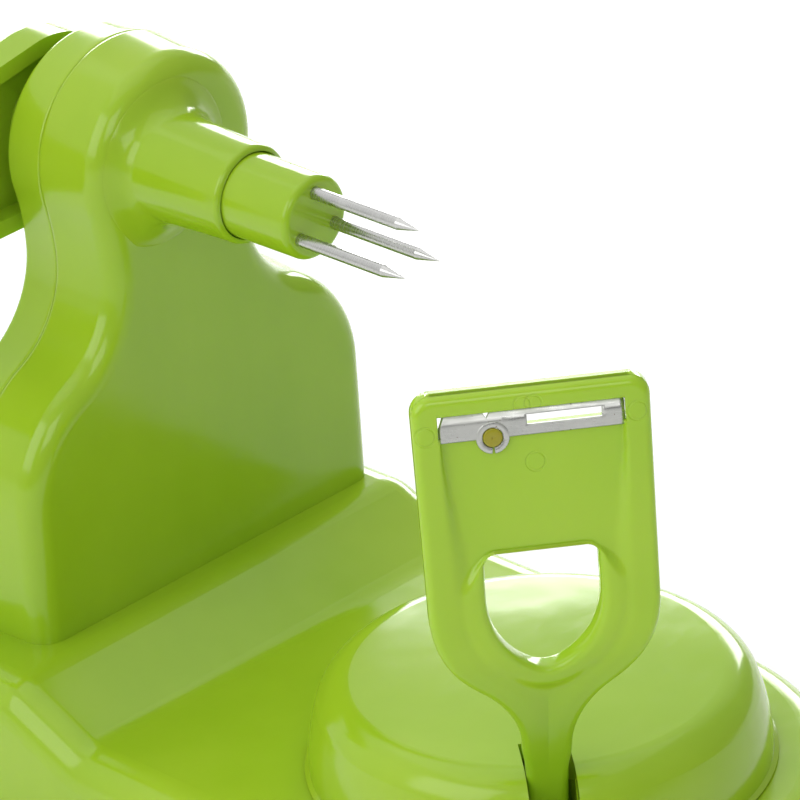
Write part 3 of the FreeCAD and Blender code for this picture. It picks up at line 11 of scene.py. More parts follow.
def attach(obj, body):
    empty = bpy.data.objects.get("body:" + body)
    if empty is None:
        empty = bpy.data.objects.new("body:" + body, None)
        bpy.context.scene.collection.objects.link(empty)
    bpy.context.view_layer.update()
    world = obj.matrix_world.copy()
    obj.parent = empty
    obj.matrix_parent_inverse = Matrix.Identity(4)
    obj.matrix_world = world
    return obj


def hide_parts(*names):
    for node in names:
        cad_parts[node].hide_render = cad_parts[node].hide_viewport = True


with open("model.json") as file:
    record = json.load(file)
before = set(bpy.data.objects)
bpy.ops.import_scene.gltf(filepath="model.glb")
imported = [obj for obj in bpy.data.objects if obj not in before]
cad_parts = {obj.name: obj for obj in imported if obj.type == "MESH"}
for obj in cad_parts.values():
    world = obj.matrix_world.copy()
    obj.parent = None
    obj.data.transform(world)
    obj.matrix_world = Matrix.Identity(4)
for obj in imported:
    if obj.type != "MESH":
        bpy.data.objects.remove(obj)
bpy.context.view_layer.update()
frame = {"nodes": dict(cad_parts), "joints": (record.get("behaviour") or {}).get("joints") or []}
nodes = frame["nodes"]
MM = 0.001

# Places taken from the frame: the turntable's axis and the arm's pivot

joints = {joint["name"]: joint for joint in frame["joints"]}
TABLE_X, TABLE_Y = joints["table_turn"]["pos_m"][:2]
PIVOT = np.array(joints["arm_pivot"]["pos_m"])
ACROSS = np.array(joints["arm_pivot"]["axis"])
OUTWARD = np.array([ACROSS[1], -ACROSS[0], 0.0])
UPWARD = np.array([0.0, 0.0, 1.0])


# Peeling arm, in millimetres: heights above the turntable's floor, across from the arm's middle. The
# head leans back by an angle in degrees. The middle line is worked out from LINE_START, before the pivot,
# to LINE_END, past the top.

PIVOT_REACH = 28.0
PIVOT_RISE = 5.0
KNEE_REACH = 42.0
KNEE_RISE = 45.5
KNEE_RADIUS = 22.0
HEAD_LEAN = 7.5
HEAD_TOP = 87.3
LINE_START = -6.0
LINE_END = 95.0
LINE_STEP = 0.02
HALF_THICK = 2.0
HEAD_HALF = 18.5
SHOULDER_HALF = 18.1
SHOULDER_RISE = 52.0
SHOULDER_RADIUS = 21.0
NECK_HALF = 3.95
NECK_RISE = 22.0
# NECK_DARK and NECK_LIGHT: heights between which the painted shade on the arm's neck fades out
NECK_DARK = 19.0
NECK_LIGHT = 45.0
FOOT_HALF = 3.4
SLOT_TOP = 16.8
HEAD_CORNER = 3.3
HOLE_HALF = 9.0
HOLE_TOP = 61.0
HOLE_SIDE = 53.5
HOLE_TIP = 40.2
HOLE_TIP_RADIUS = 4.0
HOLE_CORNER = 2.0
BAR_HEIGHT = 3.2
WINDOW_HEIGHT = 3.8
WINDOW_TOP = HEAD_TOP - BAR_HEIGHT
WINDOW_LOW = WINDOW_TOP - WINDOW_HEIGHT
WINDOW_HALF = 14.5
RECESS_DEPTH = 1.4
OUTER_ROUND = 1.3
HOLE_ROUND = 1.5
HOLE_ROUND_HIGH = 0.6
HOLE_ROUND_BACK = 0.5
WINDOW_ROUND = 0.25
RIM_WIDTH = 2.7
RIM_RAMP = 2.2
RIM_RAMP_LEAST = 0.01
RIM_FADES_FROM = HOLE_TOP - 7.0
RIM_FADES_TO = HOLE_TOP + 1.0
EYE_BORE = 1.56
EYE_RADIUS = 3.6
EYE_HALF = 3.38
EYE_ROUND = 0.6

# The arm's grid: where its rows begin, and how far they crowd together beside the hole and the window

PLATE_LOW = PIVOT_RISE + 2.4
BESIDE_HOLE = 3.0
BESIDE_WINDOW = 1.5
LEAST_SIDE = 0.6

# Rings that the mould's pins left on the arm: across, height, radius, and how wide and deep a ring is

MOULD_PINS = ((-16.5, 81.3, 1.5), (-1.3, 84.9, 1.3), (0.4, 84.9, 1.3), (16.3, 81.9, 1.5), (0.3, 74.9, 1.5))
RING_WIDTH = 0.22
RING_DEPTH = 0.12

# What changes with the height on the arm: its border's width, its panel's ramp and the panel's depth

BORDER_WIDTH = ((SLOT_TOP, 1.6), (NECK_RISE + 8, 2.6), (SHOULDER_RISE, 4.0))
PANEL_RAMP = ((44.0, 4.2), (62.0, 2.8), (76.0, 0.5))
PANEL_DEPTH = ((SLOT_TOP, 0.0), (26.0, 0.55), (44.0, 0.8), (60.0, 1.0), (74.0, RECESS_DEPTH))


# Shader sockets as Python values


class Link:
    """A shader socket that takes part in arithmetic; each operator adds one Math node."""

    def __init__(self, graph, socket):
        self.graph = graph
        self.socket = socket

    def _maths(self, operation, first, second):
        return self.graph.add("ShaderNodeMath", {"operation": operation}, {0: first, 1: second})

    def __add__(self, other):
        return self._maths("ADD", self, other)

    def __sub__(self, other):
        return self._maths("SUBTRACT", self, other)

    def __mul__(self, other):
        return self._maths("MULTIPLY", self, other)

    def __truediv__(self, other):
        return self._maths("DIVIDE", self, other)

    def __pow__(self, other):
        return self._maths("POWER", self, other)

    def __radd__(self, other):
        return self._maths("ADD", other, self)

    def __rsub__(self, other):
        return self._maths("SUBTRACT", other, self)

    def __rmul__(self, other):
        return self._maths("MULTIPLY", other, self)

    def __rtruediv__(self, other):
        return self._maths("DIVIDE", other, self)

    def __rpow__(self, other):
        return self._maths("POWER", other, self)


class Graph:
    """The nodes of one material or of the surroundings, started empty."""

    def __init__(self, owner):
        owner.use_nodes = True
        self.owner = owner
        self.tree = owner.node_tree
        self.tree.nodes.clear()

    def add(self, kind, settings=None, values=None, output=0):
        """Add a node: its settings first, then the values or links of its inputs; return one output."""
        node = self.tree.nodes.new(kind)
        for key, value in (settings or {}).items():
            setattr(node, key, value)
        for key, value in (values or {}).items():
            if isinstance(value, Link):
                self.tree.links.new(value.socket, node.inputs[key])
            else:
                node.inputs[key].default_value = value
        return Link(self, node.outputs[output]) if node.outputs else None

    def place(self):
        """Return the point on the piece, in metres."""
        return self.add("ShaderNodeTexCoord", output="Object")

    def noise(self, scale, detail=2.0, roughness=0.5, at=None):
        """Return smooth noise from 0 to 1 with that many waves a metre."""
        where = at if at is not None else self.place()
        return self.add("ShaderNodeTexNoise", {}, {
            "Vector": where, "Scale": scale, "Detail": detail, "Roughness": roughness})

    def stretched(self, x, y, z):
        """Return the point with each axis multiplied, for grain that runs one way."""
        return self.add("ShaderNodeMapping", {}, {"Vector": self.place(), "Scale": (x, y, z)})

    def range(self, value, low, high, to_low=0.0, to_high=1.0):
        """Return a value carried from one range to another and held at its ends."""
        return self.add("ShaderNodeMapRange", {}, {
            "Value": value, "From Min": low, "From Max": high, "To Min": to_low, "To Max": to_high})

    def blend(self, share, first, second):
        """Return a colour between two, by a share from 0 to 1."""
        return self.add("ShaderNodeMix", {"data_type": "RGBA"}, {
            "Factor": share, 6: colour(first), 7: colour(second)}, output=2)

    def bump(self, height, distance, strength=1.0, normal=None):
        """Return a normal bent by a height that runs from 0 to 1 over a distance in metres."""
        values = {"Height": height, "Distance": distance, "Strength": strength}
        if normal is not None:
            values["Normal"] = normal
        return self.add("ShaderNodeBump", {}, values)

    def finish(self, **sockets):
        """Add the surface shader with its socket values and return the material."""
        values = {key.replace("_", " "): value for key, value in sockets.items()}
        shader = self.add("ShaderNodeBsdfPrincipled", {}, values)
        self.add("ShaderNodeOutputMaterial", {}, {"Surface": shader})
        return self.owner


def new_graph(name):
    """Start the nodes of a new material."""
    return Graph(bpy.data.materials.new(name))


def colour(value):
    """Return a colour with an alpha, or a link as it is."""
    if isinstance(value, Link) or len(value) == 4:
        return value
    return (*value, 1.0)


# Materials


def lime_plastic(name, deep, light, soft=0.12, marks=None, painted_shade=None):
    """Moulded translucent plastic: slow colour drift, faint flow marks, a soft skin and fine scuffs.

    Where marks is given, it adds the height of marks that the mould left. Where the last argument is given,
    it is a colour and the share of it that is blended in: painted shade, a deeper colour where the part
    lies in shade.
    """
    graph = new_graph(name)
    drift = graph.noise(16.0, 3.0, 0.55)
    flow = graph.noise(60.0, 4.0, 0.6, graph.stretched(1.0, 1.0, 0.25))
    tint = graph.blend(graph.range(drift * 0.75 + flow * 0.25, 0.36, 0.64), deep, light)
    # Painted shade: a deeper colour blended in by a share, where the part lies in shade
    if painted_shade:
        tint = graph.blend(painted_shade[1](graph), tint, painted_shade[0])
    skin = graph.noise(900.0, 2.0, 0.5)
    sink = graph.noise(55.0, 2.0, 0.5)
    scuff = graph.range(graph.noise(420.0, 5.0, 0.7, graph.stretched(1.0, 0.35, 1.0)), 0.52, 0.75)
    roughness = graph.range(drift, 0.3, 0.7, 0.12, 0.18) + scuff * 0.08
    normal = graph.bump(sink, 0.0004, 0.5)
    normal = graph.bump(skin, 0.00001, 0.5, normal)
    if marks:
        normal = graph.bump(marks(graph), RING_DEPTH * MM, 0.8, normal)
    return graph.finish(
        Base_Color=tint, Roughness=roughness, Normal=normal, IOR=1.46,
        Subsurface_Weight=soft, Subsurface_Radius=(0.5, 1.0, 0.12), Subsurface_Scale=0.004,
        Coat_Weight=0.12, Coat_Roughness=0.1)


def on_pivot(graph, axis):
    """Return the distance from the arm's pivot along an axis, in metres."""
    kind = "ShaderNodeVectorMath"
    away = graph.add(kind, {"operation": "SUBTRACT"}, {0: graph.place(), 1: tuple(PIVOT)})
    return graph.add(kind, {"operation": "DOT_PRODUCT"}, {0: away, 1: tuple(axis)}, output=1)


def neck_shade_share(graph):
    """Return the share of painted shade on the arm's neck: 1 up to the height NECK_DARK, 0 from NECK_LIGHT
    up, and in proportion between the two.
    """
    low = (NECK_DARK - PIVOT_RISE) * MM
    high = (NECK_LIGHT - PIVOT_RISE) * MM
    return graph.range(on_pivot(graph, UPWARD), low, high, 1.0, 0.0)


def mould_marks(graph):
    """Rings that the mould's round pins left on the arm: a fine groove at a radius from each centre.

    A groove's depth is 1 minus the square of the distance from the ring in ring widths, and never less
    than 0. The height is the sum of the depths with its sign turned.
    """
    across = on_pivot(graph, ACROSS)
    height = on_pivot(graph, UPWARD)
    total = 0.0
    for middle, level, radius in MOULD_PINS:
        side = (across - middle * MM) ** 2
        rise = (height - (level - PIVOT_RISE) * MM) ** 2
        ring = ((side + rise) ** 0.5 - radius * MM) / (RING_WIDTH * MM)
        total = total + graph.range(ring ** 2, 0.0, 1.0, 1.0, 0.0)
    return total * -1.0


def white_nylon(name):
    """Moulded nylon of the gears: ivory, dull, with faint knit marks."""
    graph = new_graph(name)
    drift = graph.noise(45.0, 3.0, 0.5)
    tint = graph.blend(drift, (0.72, 0.71, 0.64), (0.82, 0.81, 0.76))
    normal = graph.bump(graph.noise(700.0, 3.0, 0.5), 0.00002, 0.5)
    return graph.finish(Base_Color=tint, Roughness=graph.range(drift, 0.3, 0.7, 0.38, 0.5), Normal=normal,
                        Subsurface_Weight=0.1, Subsurface_Radius=(1.0, 0.9, 0.8), Subsurface_Scale=0.002)


def clear_rubber(name):
    """Soft vinyl of the suction cups: milky, slightly green, glossy with a bloom of dust."""
    graph = new_graph(name)
    dust = graph.noise(160.0, 4.0, 0.6)
    tint = graph.blend(dust, (0.50, 0.56, 0.44), (0.62, 0.66, 0.55))
    return graph.finish(Base_Color=tint, Roughness=graph.range(dust, 0.3, 0.7, 0.22, 0.38),
                        Normal=graph.bump(dust, 0.00003, 0.4), Subsurface_Weight=0.3,
                        Subsurface_Radius=(0.8, 1.0, 0.7), Subsurface_Scale=0.003)


def turned_steel(name, around):
    """Plated steel turned on a lathe round an axis: fine rings along it and a few dull spots."""
    graph = new_graph(name)
    scale = {"x": (1.0, 0.03, 0.03), "z": (0.03, 0.03, 1.0)}[around]
    rings = graph.noise(5200.0, 2.0, 0.6, graph.stretched(*scale))
    spots = graph.noise(260.0, 3.0, 0.6)
    tint = graph.blend(spots, (0.50, 0.50, 0.49), (0.62, 0.62, 0.60))
    roughness = graph.range(rings, 0.3, 0.7, 0.18, 0.34) + graph.range(spots, 0.5, 0.8, 0.0, 0.12)
    return graph.finish(Base_Color=tint, Metallic=1.0, Roughness=roughness,
                        Normal=graph.bump(rings, 0.00001, 0.5))


def ground_steel(name):
    """Stainless strip: fine grinding lines along the blade, cloudy patches and pinpoints of rust."""
    graph = new_graph(name)
    grain = graph.noise(3600.0, 3.0, 0.6, graph.stretched(0.06, 0.06, 1.0))
    cloud = graph.noise(210.0, 4.0, 0.6)
    specks = graph.range(graph.noise(1500.0, 2.0, 0.5), 0.70, 0.76)
    tint = graph.blend(cloud, (0.42, 0.43, 0.41), (0.66, 0.66, 0.62))
    tint = graph.blend(specks, tint, (0.16, 0.09, 0.05))
    roughness = graph.range(grain, 0.3, 0.7, 0.20, 0.36) + graph.range(cloud, 0.4, 0.7, 0.0, 0.14)
    return graph.finish(Base_Color=tint, Metallic=graph.range(specks, 0.0, 1.0, 1.0, 0.2),
                        Roughness=roughness, Normal=graph.bump(grain, 0.000008, 0.5))


LIME_DEEP = (0.290, 0.482, 0.012)
LIME_LIGHT = (0.352, 0.540, 0.024)
ARM_DEEP = (0.345, 0.555, 0.022)
ARM_LIGHT = (0.400, 0.600, 0.036)
# The arm's neck colour is painted shade: the neck turns deeper green where it goes down into the slot
ARM_NECK_SHADE = (0.235, 0.425, 0.010)
lime = lime_plastic("lime_plastic", LIME_DEEP, LIME_LIGHT)
lime_arm = lime_plastic("lime_arm_plastic", ARM_DEEP, ARM_LIGHT, 0.18, mould_marks, (ARM_NECK_SHADE, neck_shade_share))
peg_plastic = lime_plastic("peg_plastic", (0.300, 0.270, 0.008), (0.380, 0.330, 0.012))
lime_dull = lime_plastic("lime_cover_plastic", (0.20, 0.40, 0.025), (0.25, 0.45, 0.035))
nylon = white_nylon("gear_nylon")
vinyl = clear_rubber("cup_vinyl")
rod_steel = turned_steel("rod_steel_along_x", "x")
pin_steel = turned_steel("rod_steel_along_z", "z")
blade_steel = ground_steel("blade_steel")

finishes = {
    lime: ["base_shell", "post_front_shell", "post_rear_shell", "crank_arm", "crank_knob", "turntable_dome",
           "fork_hub"],
    lime_arm: ["peeler_arm"],
    lime_dull: ["bottom_cover", "knob_cap"],
    nylon: ["worm", "worm_wheel", "drive_pinion", "idler_gear", "table_gear"],
    vinyl: ["suction_cup_1", "suction_cup_2", "suction_cup_3", "suction_cup_4"],
    rod_steel: ["spindle_shaft", "fork_prong_1", "fork_prong_2", "fork_prong_3", "spindle_washer",
                "crank_screw", "knob_pin", "post_screws", "arm_pivot_pin"],
    pin_steel: ["cover_screws", "post_mount_screws", "drive_shaft", "idler_pin", "table_washer",
                "table_screw", "arm_spring"],
    blade_steel: ["peeler_blade"],
}
for material, names in finishes.items():
    for name in names:
        mesh = nodes[name].data
        mesh.materials.clear()
        mesh.materials.append(material)


# Meshes: how much the steps of eased crowd together at their ends, from 0 for even ones to 0.159

CROWDING = 0.13


def new_piece(name, body, slot, points, faces, material, *stands_for):
    """Make one piece of closed faces, smooth, riding on a body; unused points are dropped."""
    used, where = np.unique(faces, return_inverse=True)
    mesh = bpy.data.meshes.new(name)
    mesh.from_pydata(points[used].tolist(), [], where.reshape(faces.shape).tolist())
    mesh.validate()
    mesh.shade_smooth()
    mesh.materials.append(material)
    piece = bpy.data.objects.new(name, mesh)
    bpy.context.scene.collection.objects.link(piece)
    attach(piece, body)
    if stands_for:
        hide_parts(*stands_for)


def slab_faces(number, kept):
    """Return the faces of a closed plate from one grid of point numbers.

    The front sheet has the kept cells, the back sheet has them turned round, and each edge
    that only one kept cell uses gets a wall between the two sheets.
    """
    total = number.max() + 1
    cells = np.stack([number[:-1, :-1], number[:-1, 1:], number[1:, 1:], number[1:, :-1]], axis=-1)[kept]
    edges = np.concatenate([cells[:, [0, 1]], cells[:, [1, 2]], cells[:, [2, 3]], cells[:, [3, 0]]])
    edges = edges[edges[:, 0] != edges[:, 1]]
    key = np.sort(edges, axis=1)
    first, count = np.unique(key, axis=0, return_index=True, return_counts=True)[1:]
    free = edges[first[count == 1]]
    walls = np.stack([free[:, 1], free[:, 0], free[:, 0] + total, free[:, 1] + total], axis=-1)
    return np.concatenate([cells, cells[:, ::-1] + total, walls])


def turned_faces(rings, points_round):
    """Return the faces of a closed surface of rings, the last of which joins the first."""
    number = np.arange(rings * points_round).reshape(rings, points_round)
    beside = np.roll(number, -1, axis=1)
    above = np.roll(number, -1, axis=0)
    corner = np.roll(beside, -1, axis=0)
    return np.stack([number, beside, corner, above], axis=-1).reshape(-1, 4)


def both_sheets(front, back):
    """Return the points of a plate's two grids as one list, the front ones first."""
    return np.concatenate([front.reshape(-1, 3), back.reshape(-1, 3)])


def eased(low, high, count):
    """Return steps from low to high that crowd together at both ends: even steps less a sine wave."""
    share = np.linspace(0.0, 1.0, count + 1)
    return low + (high - low) * (share - CROWDING * np.sin(2 * np.pi * share))


def from_table(value, table):
    """Return what a table of pairs gives for a value, in straight lines between its rows."""
    places, results = zip(*table)
    return np.interp(value, places, results)


def smooth_step(value, low, high):
    """Return 0 below low, 1 above high, and the cubic 3t2 - 2t3 between them."""
    share = np.clip((value - low) / (high - low), 0.0, 1.0)
    return share * share * (3 - 2 * share)


def edge_drop(distance, radius):
    """Return how far a round of that radius lies below the flat at a distance from its edge."""
    inward = np.clip(radius - distance, 0.0, radius)
    return radius - np.sqrt(radius * radius - inward * inward)


def distance_to(outline, across, height):
    """Return each point's shortest distance to a closed outline, over the outline's straight pieces."""
    piece = np.roll(outline, -1, axis=0) - outline
    gap = np.stack([across, height], axis=-1)[..., None, :] - outline
    share = np.clip((gap * piece).sum(-1) / np.maximum((piece * piece).sum(-1), 1e-9), 0.0, 1.0)
    return np.linalg.norm(gap - share[..., None] * piece, axis=-1).min(-1)


def arm_line():
    """The arm's middle line in side view, from its pivot to its top.

    Its slope is constant, turns evenly along the bend at the knee and is constant again;
    reach and height are the running sums of the slope's cosine and sine.
    """
    run = KNEE_REACH - PIVOT_REACH
    rise = KNEE_RISE - PIVOT_RISE
    low_slope = math.atan2(rise, run)
    high_slope = math.radians(90 + HEAD_LEAN)
    bend = high_slope - low_slope
    tangent = KNEE_RADIUS * math.tan(bend / 2)
    start = math.hypot(run, rise) - tangent
    travel = np.arange(LINE_START, LINE_END, LINE_STEP)
    slope = low_slope + bend * np.clip((travel - start) / (KNEE_RADIUS * bend), 0.0, 1.0)
    reach = np.cumsum(np.cos(slope)) * LINE_STEP
    height = np.cumsum(np.sin(slope)) * LINE_STEP
    reach += PIVOT_REACH - np.interp(0.0, travel, reach)
    height += PIVOT_RISE - np.interp(0.0, travel, height)
    return reach, height, slope


LINE_REACH, LINE_HEIGHT, LINE_SLOPE = arm_line()


def on_arm(reach, across, height):
    """Carry the arm's own millimetres, reach, across and height, into the frame in metres."""
    away = np.asarray(reach - PIVOT_REACH)[..., None] * OUTWARD
    along = np.asarray(across)[..., None] * ACROSS
    above = np.asarray(height - PIVOT_RISE)[..., None] * UPWARD
    return PIVOT + MM * (away + along + above)


def on_plate(across, height, lift):
    """Return the points at a height on the arm's bent sheet, lifted off its middle along the normal."""
    level = height
    for _ in range(4):
        slope = np.interp(level, LINE_HEIGHT, LINE_SLOPE)
        level = height + lift * np.cos(slope)
    reach = np.interp(level, LINE_HEIGHT, LINE_REACH) + lift * np.sin(slope)
    return on_arm(reach, across, height)


def arm_half_width(height):
    """Half the arm's width at a height: foot, neck, hollow arc, shoulder arc, head and its top corner."""
    widening = SHOULDER_HALF - NECK_HALF
    fall = SHOULDER_RISE - NECK_RISE
    both = (widening * widening + fall * fall) / (2 * widening)
    hollow = both - SHOULDER_RADIUS
    bend = NECK_RISE + fall * hollow / both
    corner = HEAD_TOP - HEAD_CORNER
    neck = FOOT_HALF + (NECK_HALF - FOOT_HALF) * smooth_step(height, SLOT_TOP, NECK_RISE)
    in_hollow = np.clip(height - NECK_RISE, 0.0, hollow)
    hollow_part = NECK_HALF + hollow - np.sqrt(hollow * hollow - in_hollow * in_hollow)
    in_shoulder = np.clip(SHOULDER_RISE - height, 0.0, SHOULDER_RADIUS)
    shoulder_part = SHOULDER_HALF - SHOULDER_RADIUS + np.sqrt(SHOULDER_RADIUS**2 - in_shoulder**2)
    head_part = np.interp(height, [SHOULDER_RISE, corner], [SHOULDER_HALF, HEAD_HALF])
    in_corner = np.clip(height - corner, 0.0, HEAD_CORNER)
    corner_part = HEAD_HALF - HEAD_CORNER + np.sqrt(HEAD_CORNER**2 - in_corner**2)
    return np.select(
        [height < NECK_RISE, height < bend, height < SHOULDER_RISE, height < corner],
        [neck, hollow_part, shoulder_part, head_part], corner_part)


def hole_half_width(height):
    """Half the hole's width at a height: tip arc, side arc, upright side and upper corner; 0 outside it."""
    drop = HOLE_SIDE - HOLE_TIP - HOLE_TIP_RADIUS
    side = (HOLE_HALF**2 + drop * drop - HOLE_TIP_RADIUS**2) / (2 * (HOLE_HALF - HOLE_TIP_RADIUS))
    share = HOLE_TIP_RADIUS / (side - HOLE_TIP_RADIUS)
    touch = HOLE_TIP + HOLE_TIP_RADIUS - drop * share
    corner = HOLE_TOP - HOLE_CORNER
    in_tip = np.clip(HOLE_TIP + HOLE_TIP_RADIUS - height, 0.0, HOLE_TIP_RADIUS)
    tip_part = np.sqrt(HOLE_TIP_RADIUS**2 - in_tip**2)
    in_side = np.clip(HOLE_SIDE - height, 0.0, side)
    side_part = HOLE_HALF - side + np.sqrt(side * side - in_side * in_side)
    in_corner = np.clip(height - corner, 0.0, HOLE_CORNER)
    corner_part = HOLE_HALF - HOLE_CORNER + np.sqrt(HOLE_CORNER**2 - in_corner**2)
    return np.select(
        [height < HOLE_TIP, height < touch, height < HOLE_SIDE, height < corner],
        [0.0 * height, tip_part, side_part, HOLE_HALF + 0.0 * height], corner_part)


def both_sides(half_width, heights):
    """Return the closed outline whose half width at each height is given."""
    half = half_width(heights)
    right = np.stack([half, heights], axis=-1)
    left = np.stack([-half, heights], axis=-1)[::-1]
    return np.concatenate([right, left])


def arm_rows():
    """Heights of the grid's rows: crowded at the hole's ends, the window's edges and the arm's top."""
    away = np.linspace(0.0, 1.0, 13) ** 2
    corner_turn = np.sin(np.linspace(0.0, np.pi / 2, 13))
    return np.unique(np.concatenate([
        np.linspace(PLATE_LOW, NECK_RISE, 16),
        np.linspace(NECK_RISE, HOLE_TIP - BESIDE_HOLE, 26),
        HOLE_TIP - BESIDE_HOLE * away,
        HOLE_TIP + BESIDE_HOLE * away,
        np.linspace(HOLE_TIP + BESIDE_HOLE, HOLE_TOP - HOLE_CORNER, 30),
        HOLE_TOP - HOLE_CORNER + HOLE_CORNER * corner_turn,
        HOLE_TOP + BESIDE_HOLE * away,
        np.linspace(HOLE_TOP + BESIDE_HOLE, WINDOW_LOW - BESIDE_WINDOW, 26),
        WINDOW_LOW - BESIDE_WINDOW * away,
        eased(WINDOW_LOW, WINDOW_TOP, 10),
        eased(WINDOW_TOP, HEAD_TOP - HEAD_CORNER, 3),
        HEAD_TOP - HEAD_CORNER + HEAD_CORNER * corner_turn,
    ]))


def arm_relief(height, edge, hole, window):
    """Lift of the arm's front above its middle sheet.

    A border as wide as the rail follows the outer edge and a narrower rim follows the hole's
    sides and tip. Between them the panel lies lower, by a step that is sharp beside the window
    and soft and shallow towards the neck. All edges are rounded.
    """
    border = from_table(height, BORDER_WIDTH)
    rim_fade = smooth_step(height, RIM_FADES_FROM, RIM_FADES_TO)
    rim = RIM_WIDTH * (1 - rim_fade)
    inside_border = smooth_step(edge, border, border + from_table(height, PANEL_RAMP))
    outside_rim = smooth_step(hole, rim, rim + RIM_RAMP * (1 - rim_fade) + RIM_RAMP_LEAST)
    panel = inside_border * outside_rim
    hole_round = HOLE_ROUND - (HOLE_ROUND - HOLE_ROUND_HIGH) * rim_fade
    drop = np.maximum(edge_drop(edge, OUTER_ROUND), edge_drop(hole, hole_round))
    drop = np.maximum(drop, edge_drop(window, WINDOW_ROUND))
    return HALF_THICK - from_table(height, PANEL_DEPTH) * panel - drop


def arm_grid(rows):
    """The arm's columns in each row, its point numbers, and which cells are kept.

    The columns are three blocks: left of the opening, across it, and right of it. Below the hole's
    tip the middle block has no width, and its columns are one point in each row. The cells across the
    hole and the window are left out.
    """
    side = eased(0.0, 1.0, 30)
    middle = eased(0.0, 1.0, 36)
    outer = arm_half_width(rows)
    opening = hole_half_width(rows)
    above = rows > HOLE_TOP
    bridge = np.interp(rows, [HOLE_TOP, WINDOW_LOW], [HOLE_HALF - HOLE_CORNER, WINDOW_HALF])
    opening = np.where(above, np.minimum(bridge, outer - LEAST_SIDE), opening)
    left = -outer[:, None] + (outer - opening)[:, None] * side
    centre = -opening[:, None] + 2 * opening[:, None] * middle
    right = -left[:, ::-1]
    across = np.concatenate([left, centre[:, 1:-1], right], axis=1)

    number = np.arange(across.size).reshape(across.shape)
    first = side.size - 1
    last = first + middle.size - 1
    shut = rows <= HOLE_TIP + 1e-6
    number[shut, first:last + 1] = number[shut, first][:, None]

    cell_rows = (rows[:-1] + rows[1:]) / 2
    in_hole = (cell_rows > HOLE_TIP) & (cell_rows < HOLE_TOP)
    in_window = (cell_rows > WINDOW_LOW) & (cell_rows < WINDOW_TOP)
    closed = shut[1:] | in_hole | in_window
    kept = np.ones((rows.size - 1, across.shape[1] - 1), bool)
    kept[closed, first:last] = False
    return across, number, kept


def peeling_arm():
    """The arm's plate: one grid of rows and columns on its bent sheet, its front shaped by the relief."""
    rows = arm_rows()
    across, number, kept = arm_grid(rows)
    height = np.broadcast_to(rows[:, None], across.shape)
    edge = distance_to(both_sides(arm_half_width, rows[::2]), across, height)
    hole_rows = rows[(rows >= HOLE_TIP) & (rows <= HOLE_TOP)]
    hole = distance_to(both_sides(hole_half_width, hole_rows), across, height)
    frame_across = np.array([-WINDOW_HALF, WINDOW_HALF, WINDOW_HALF, -WINDOW_HALF])
    frame_height = np.array([WINDOW_LOW, WINDOW_LOW, WINDOW_TOP, WINDOW_TOP])
    window = distance_to(np.stack([frame_across, frame_height], axis=-1), across, height)
    front = on_plate(across, height, arm_relief(height, edge, hole, window))
    drop = np.maximum(edge_drop(edge, OUTER_ROUND), edge_drop(hole, HOLE_ROUND_BACK))
    back = on_plate(across, height, -HALF_THICK + drop)
    points = both_sheets(front, back)
    faces = slab_faces(number, kept)
    new_piece("peeling_arm_plate", "arm", "lime_arm", points, faces, lime_arm, "peeler_arm")


def pivot_eye():
    """The eye at the arm's foot: a closed section turned round the pivot.

    The section is a rectangle from the bore to the outside, its two outer corners quarter circles.
    """
    turn = np.linspace(0.0, np.pi / 2, 7)
    right = np.stack([EYE_HALF - EYE_ROUND + EYE_ROUND * np.sin(turn),
                      EYE_RADIUS - EYE_ROUND + EYE_ROUND * np.cos(turn)], axis=-1)
    left = right[::-1] * (-1, 1)
    bore = np.array([[EYE_HALF, EYE_BORE], [-EYE_HALF, EYE_BORE]])
    section = np.concatenate([left, right, bore])
    around = np.linspace(0.0, 2 * np.pi, 64, endpoint=False)
    reach = PIVOT_REACH + section[:, 1:] * np.cos(around)
    height = PIVOT_RISE + section[:, 1:] * np.sin(around)
    points = on_arm(reach, section[:, :1] + 0.0 * reach, height).reshape(-1, 3)
    faces = turned_faces(section.shape[0], around.size)[:, ::-1]
    new_piece("arm_eye", "arm", "lime_arm", points, faces, lime_arm)


# Blade, in millimetres: down from the window's top along the head, across from the arm's middle. The
# fold's slope and the left end's slant are ratios, FOLD_SOFT is in square millimetres and TAB_SPLIT is
# half the split's angle in degrees.

BLADE_HIGH = 4.7
BLADE_HALF = 14.4
BLADE_THICK = 0.5
BLADE_BASE = HALF_THICK - RECESS_DEPTH + 0.02
FOLD_DOWN = 1.9
FOLD_SLOPE = 0.42
FOLD_SOFT = 0.02
END_SLANT = 0.45
SLANT_DOWN = 2.4
SLIT_LEFT = -0.7
SLIT_RIGHT = 10.9
SLIT_HIGH = 1.5
SLIT_LOW = 3.1
CELLS_ABOVE_SLIT = 8
CELLS_BESIDE_SLIT = 6
PEG_ACROSS = -6.1
PEG_DOWN = 4.6
PEG_RADIUS = 1.6
TAB_RADIUS = 2.6
TAB_BEVEL = 0.12
TAB_BEVEL_DEEP = 0.08
TAB_SPLIT = 5.5
TAB_PLAY = 0.02
TAB_LIFT = 0.03
TAB_PROUD = 0.06
NOTCH_ACROSS = -6.9
NOTCH_HALF = 0.9
NOTCH_DEEP = 1.5

# The peg's rings: radius and lift off the head's middle sheet

PEG_RINGS = ((0.01, 0.2), (1.5, 0.2), (1.5, 0.8), (1.5, 1.18), (1.44, 1.27), (1.3, 1.32), (0.9, 1.34),
             (0.45, 1.35), (0.01, 1.35))


def on_head(down, across, lift):
    """Return the points a distance down the head from the window's top, lifted off its middle sheet."""
    lean = math.radians(HEAD_LEAN)
    height = WINDOW_TOP - down * math.cos(lean) + lift * math.sin(lean)
    return on_plate(across, height, lift)


def blade_lift(down):
    """Lift of the blade's back: flat on the panel, and folded inwards above a rounded fold."""
    above = FOLD_DOWN - down
    return BLADE_BASE - FOLD_SLOPE * (np.sqrt(above * above + FOLD_SOFT) + above) / 2


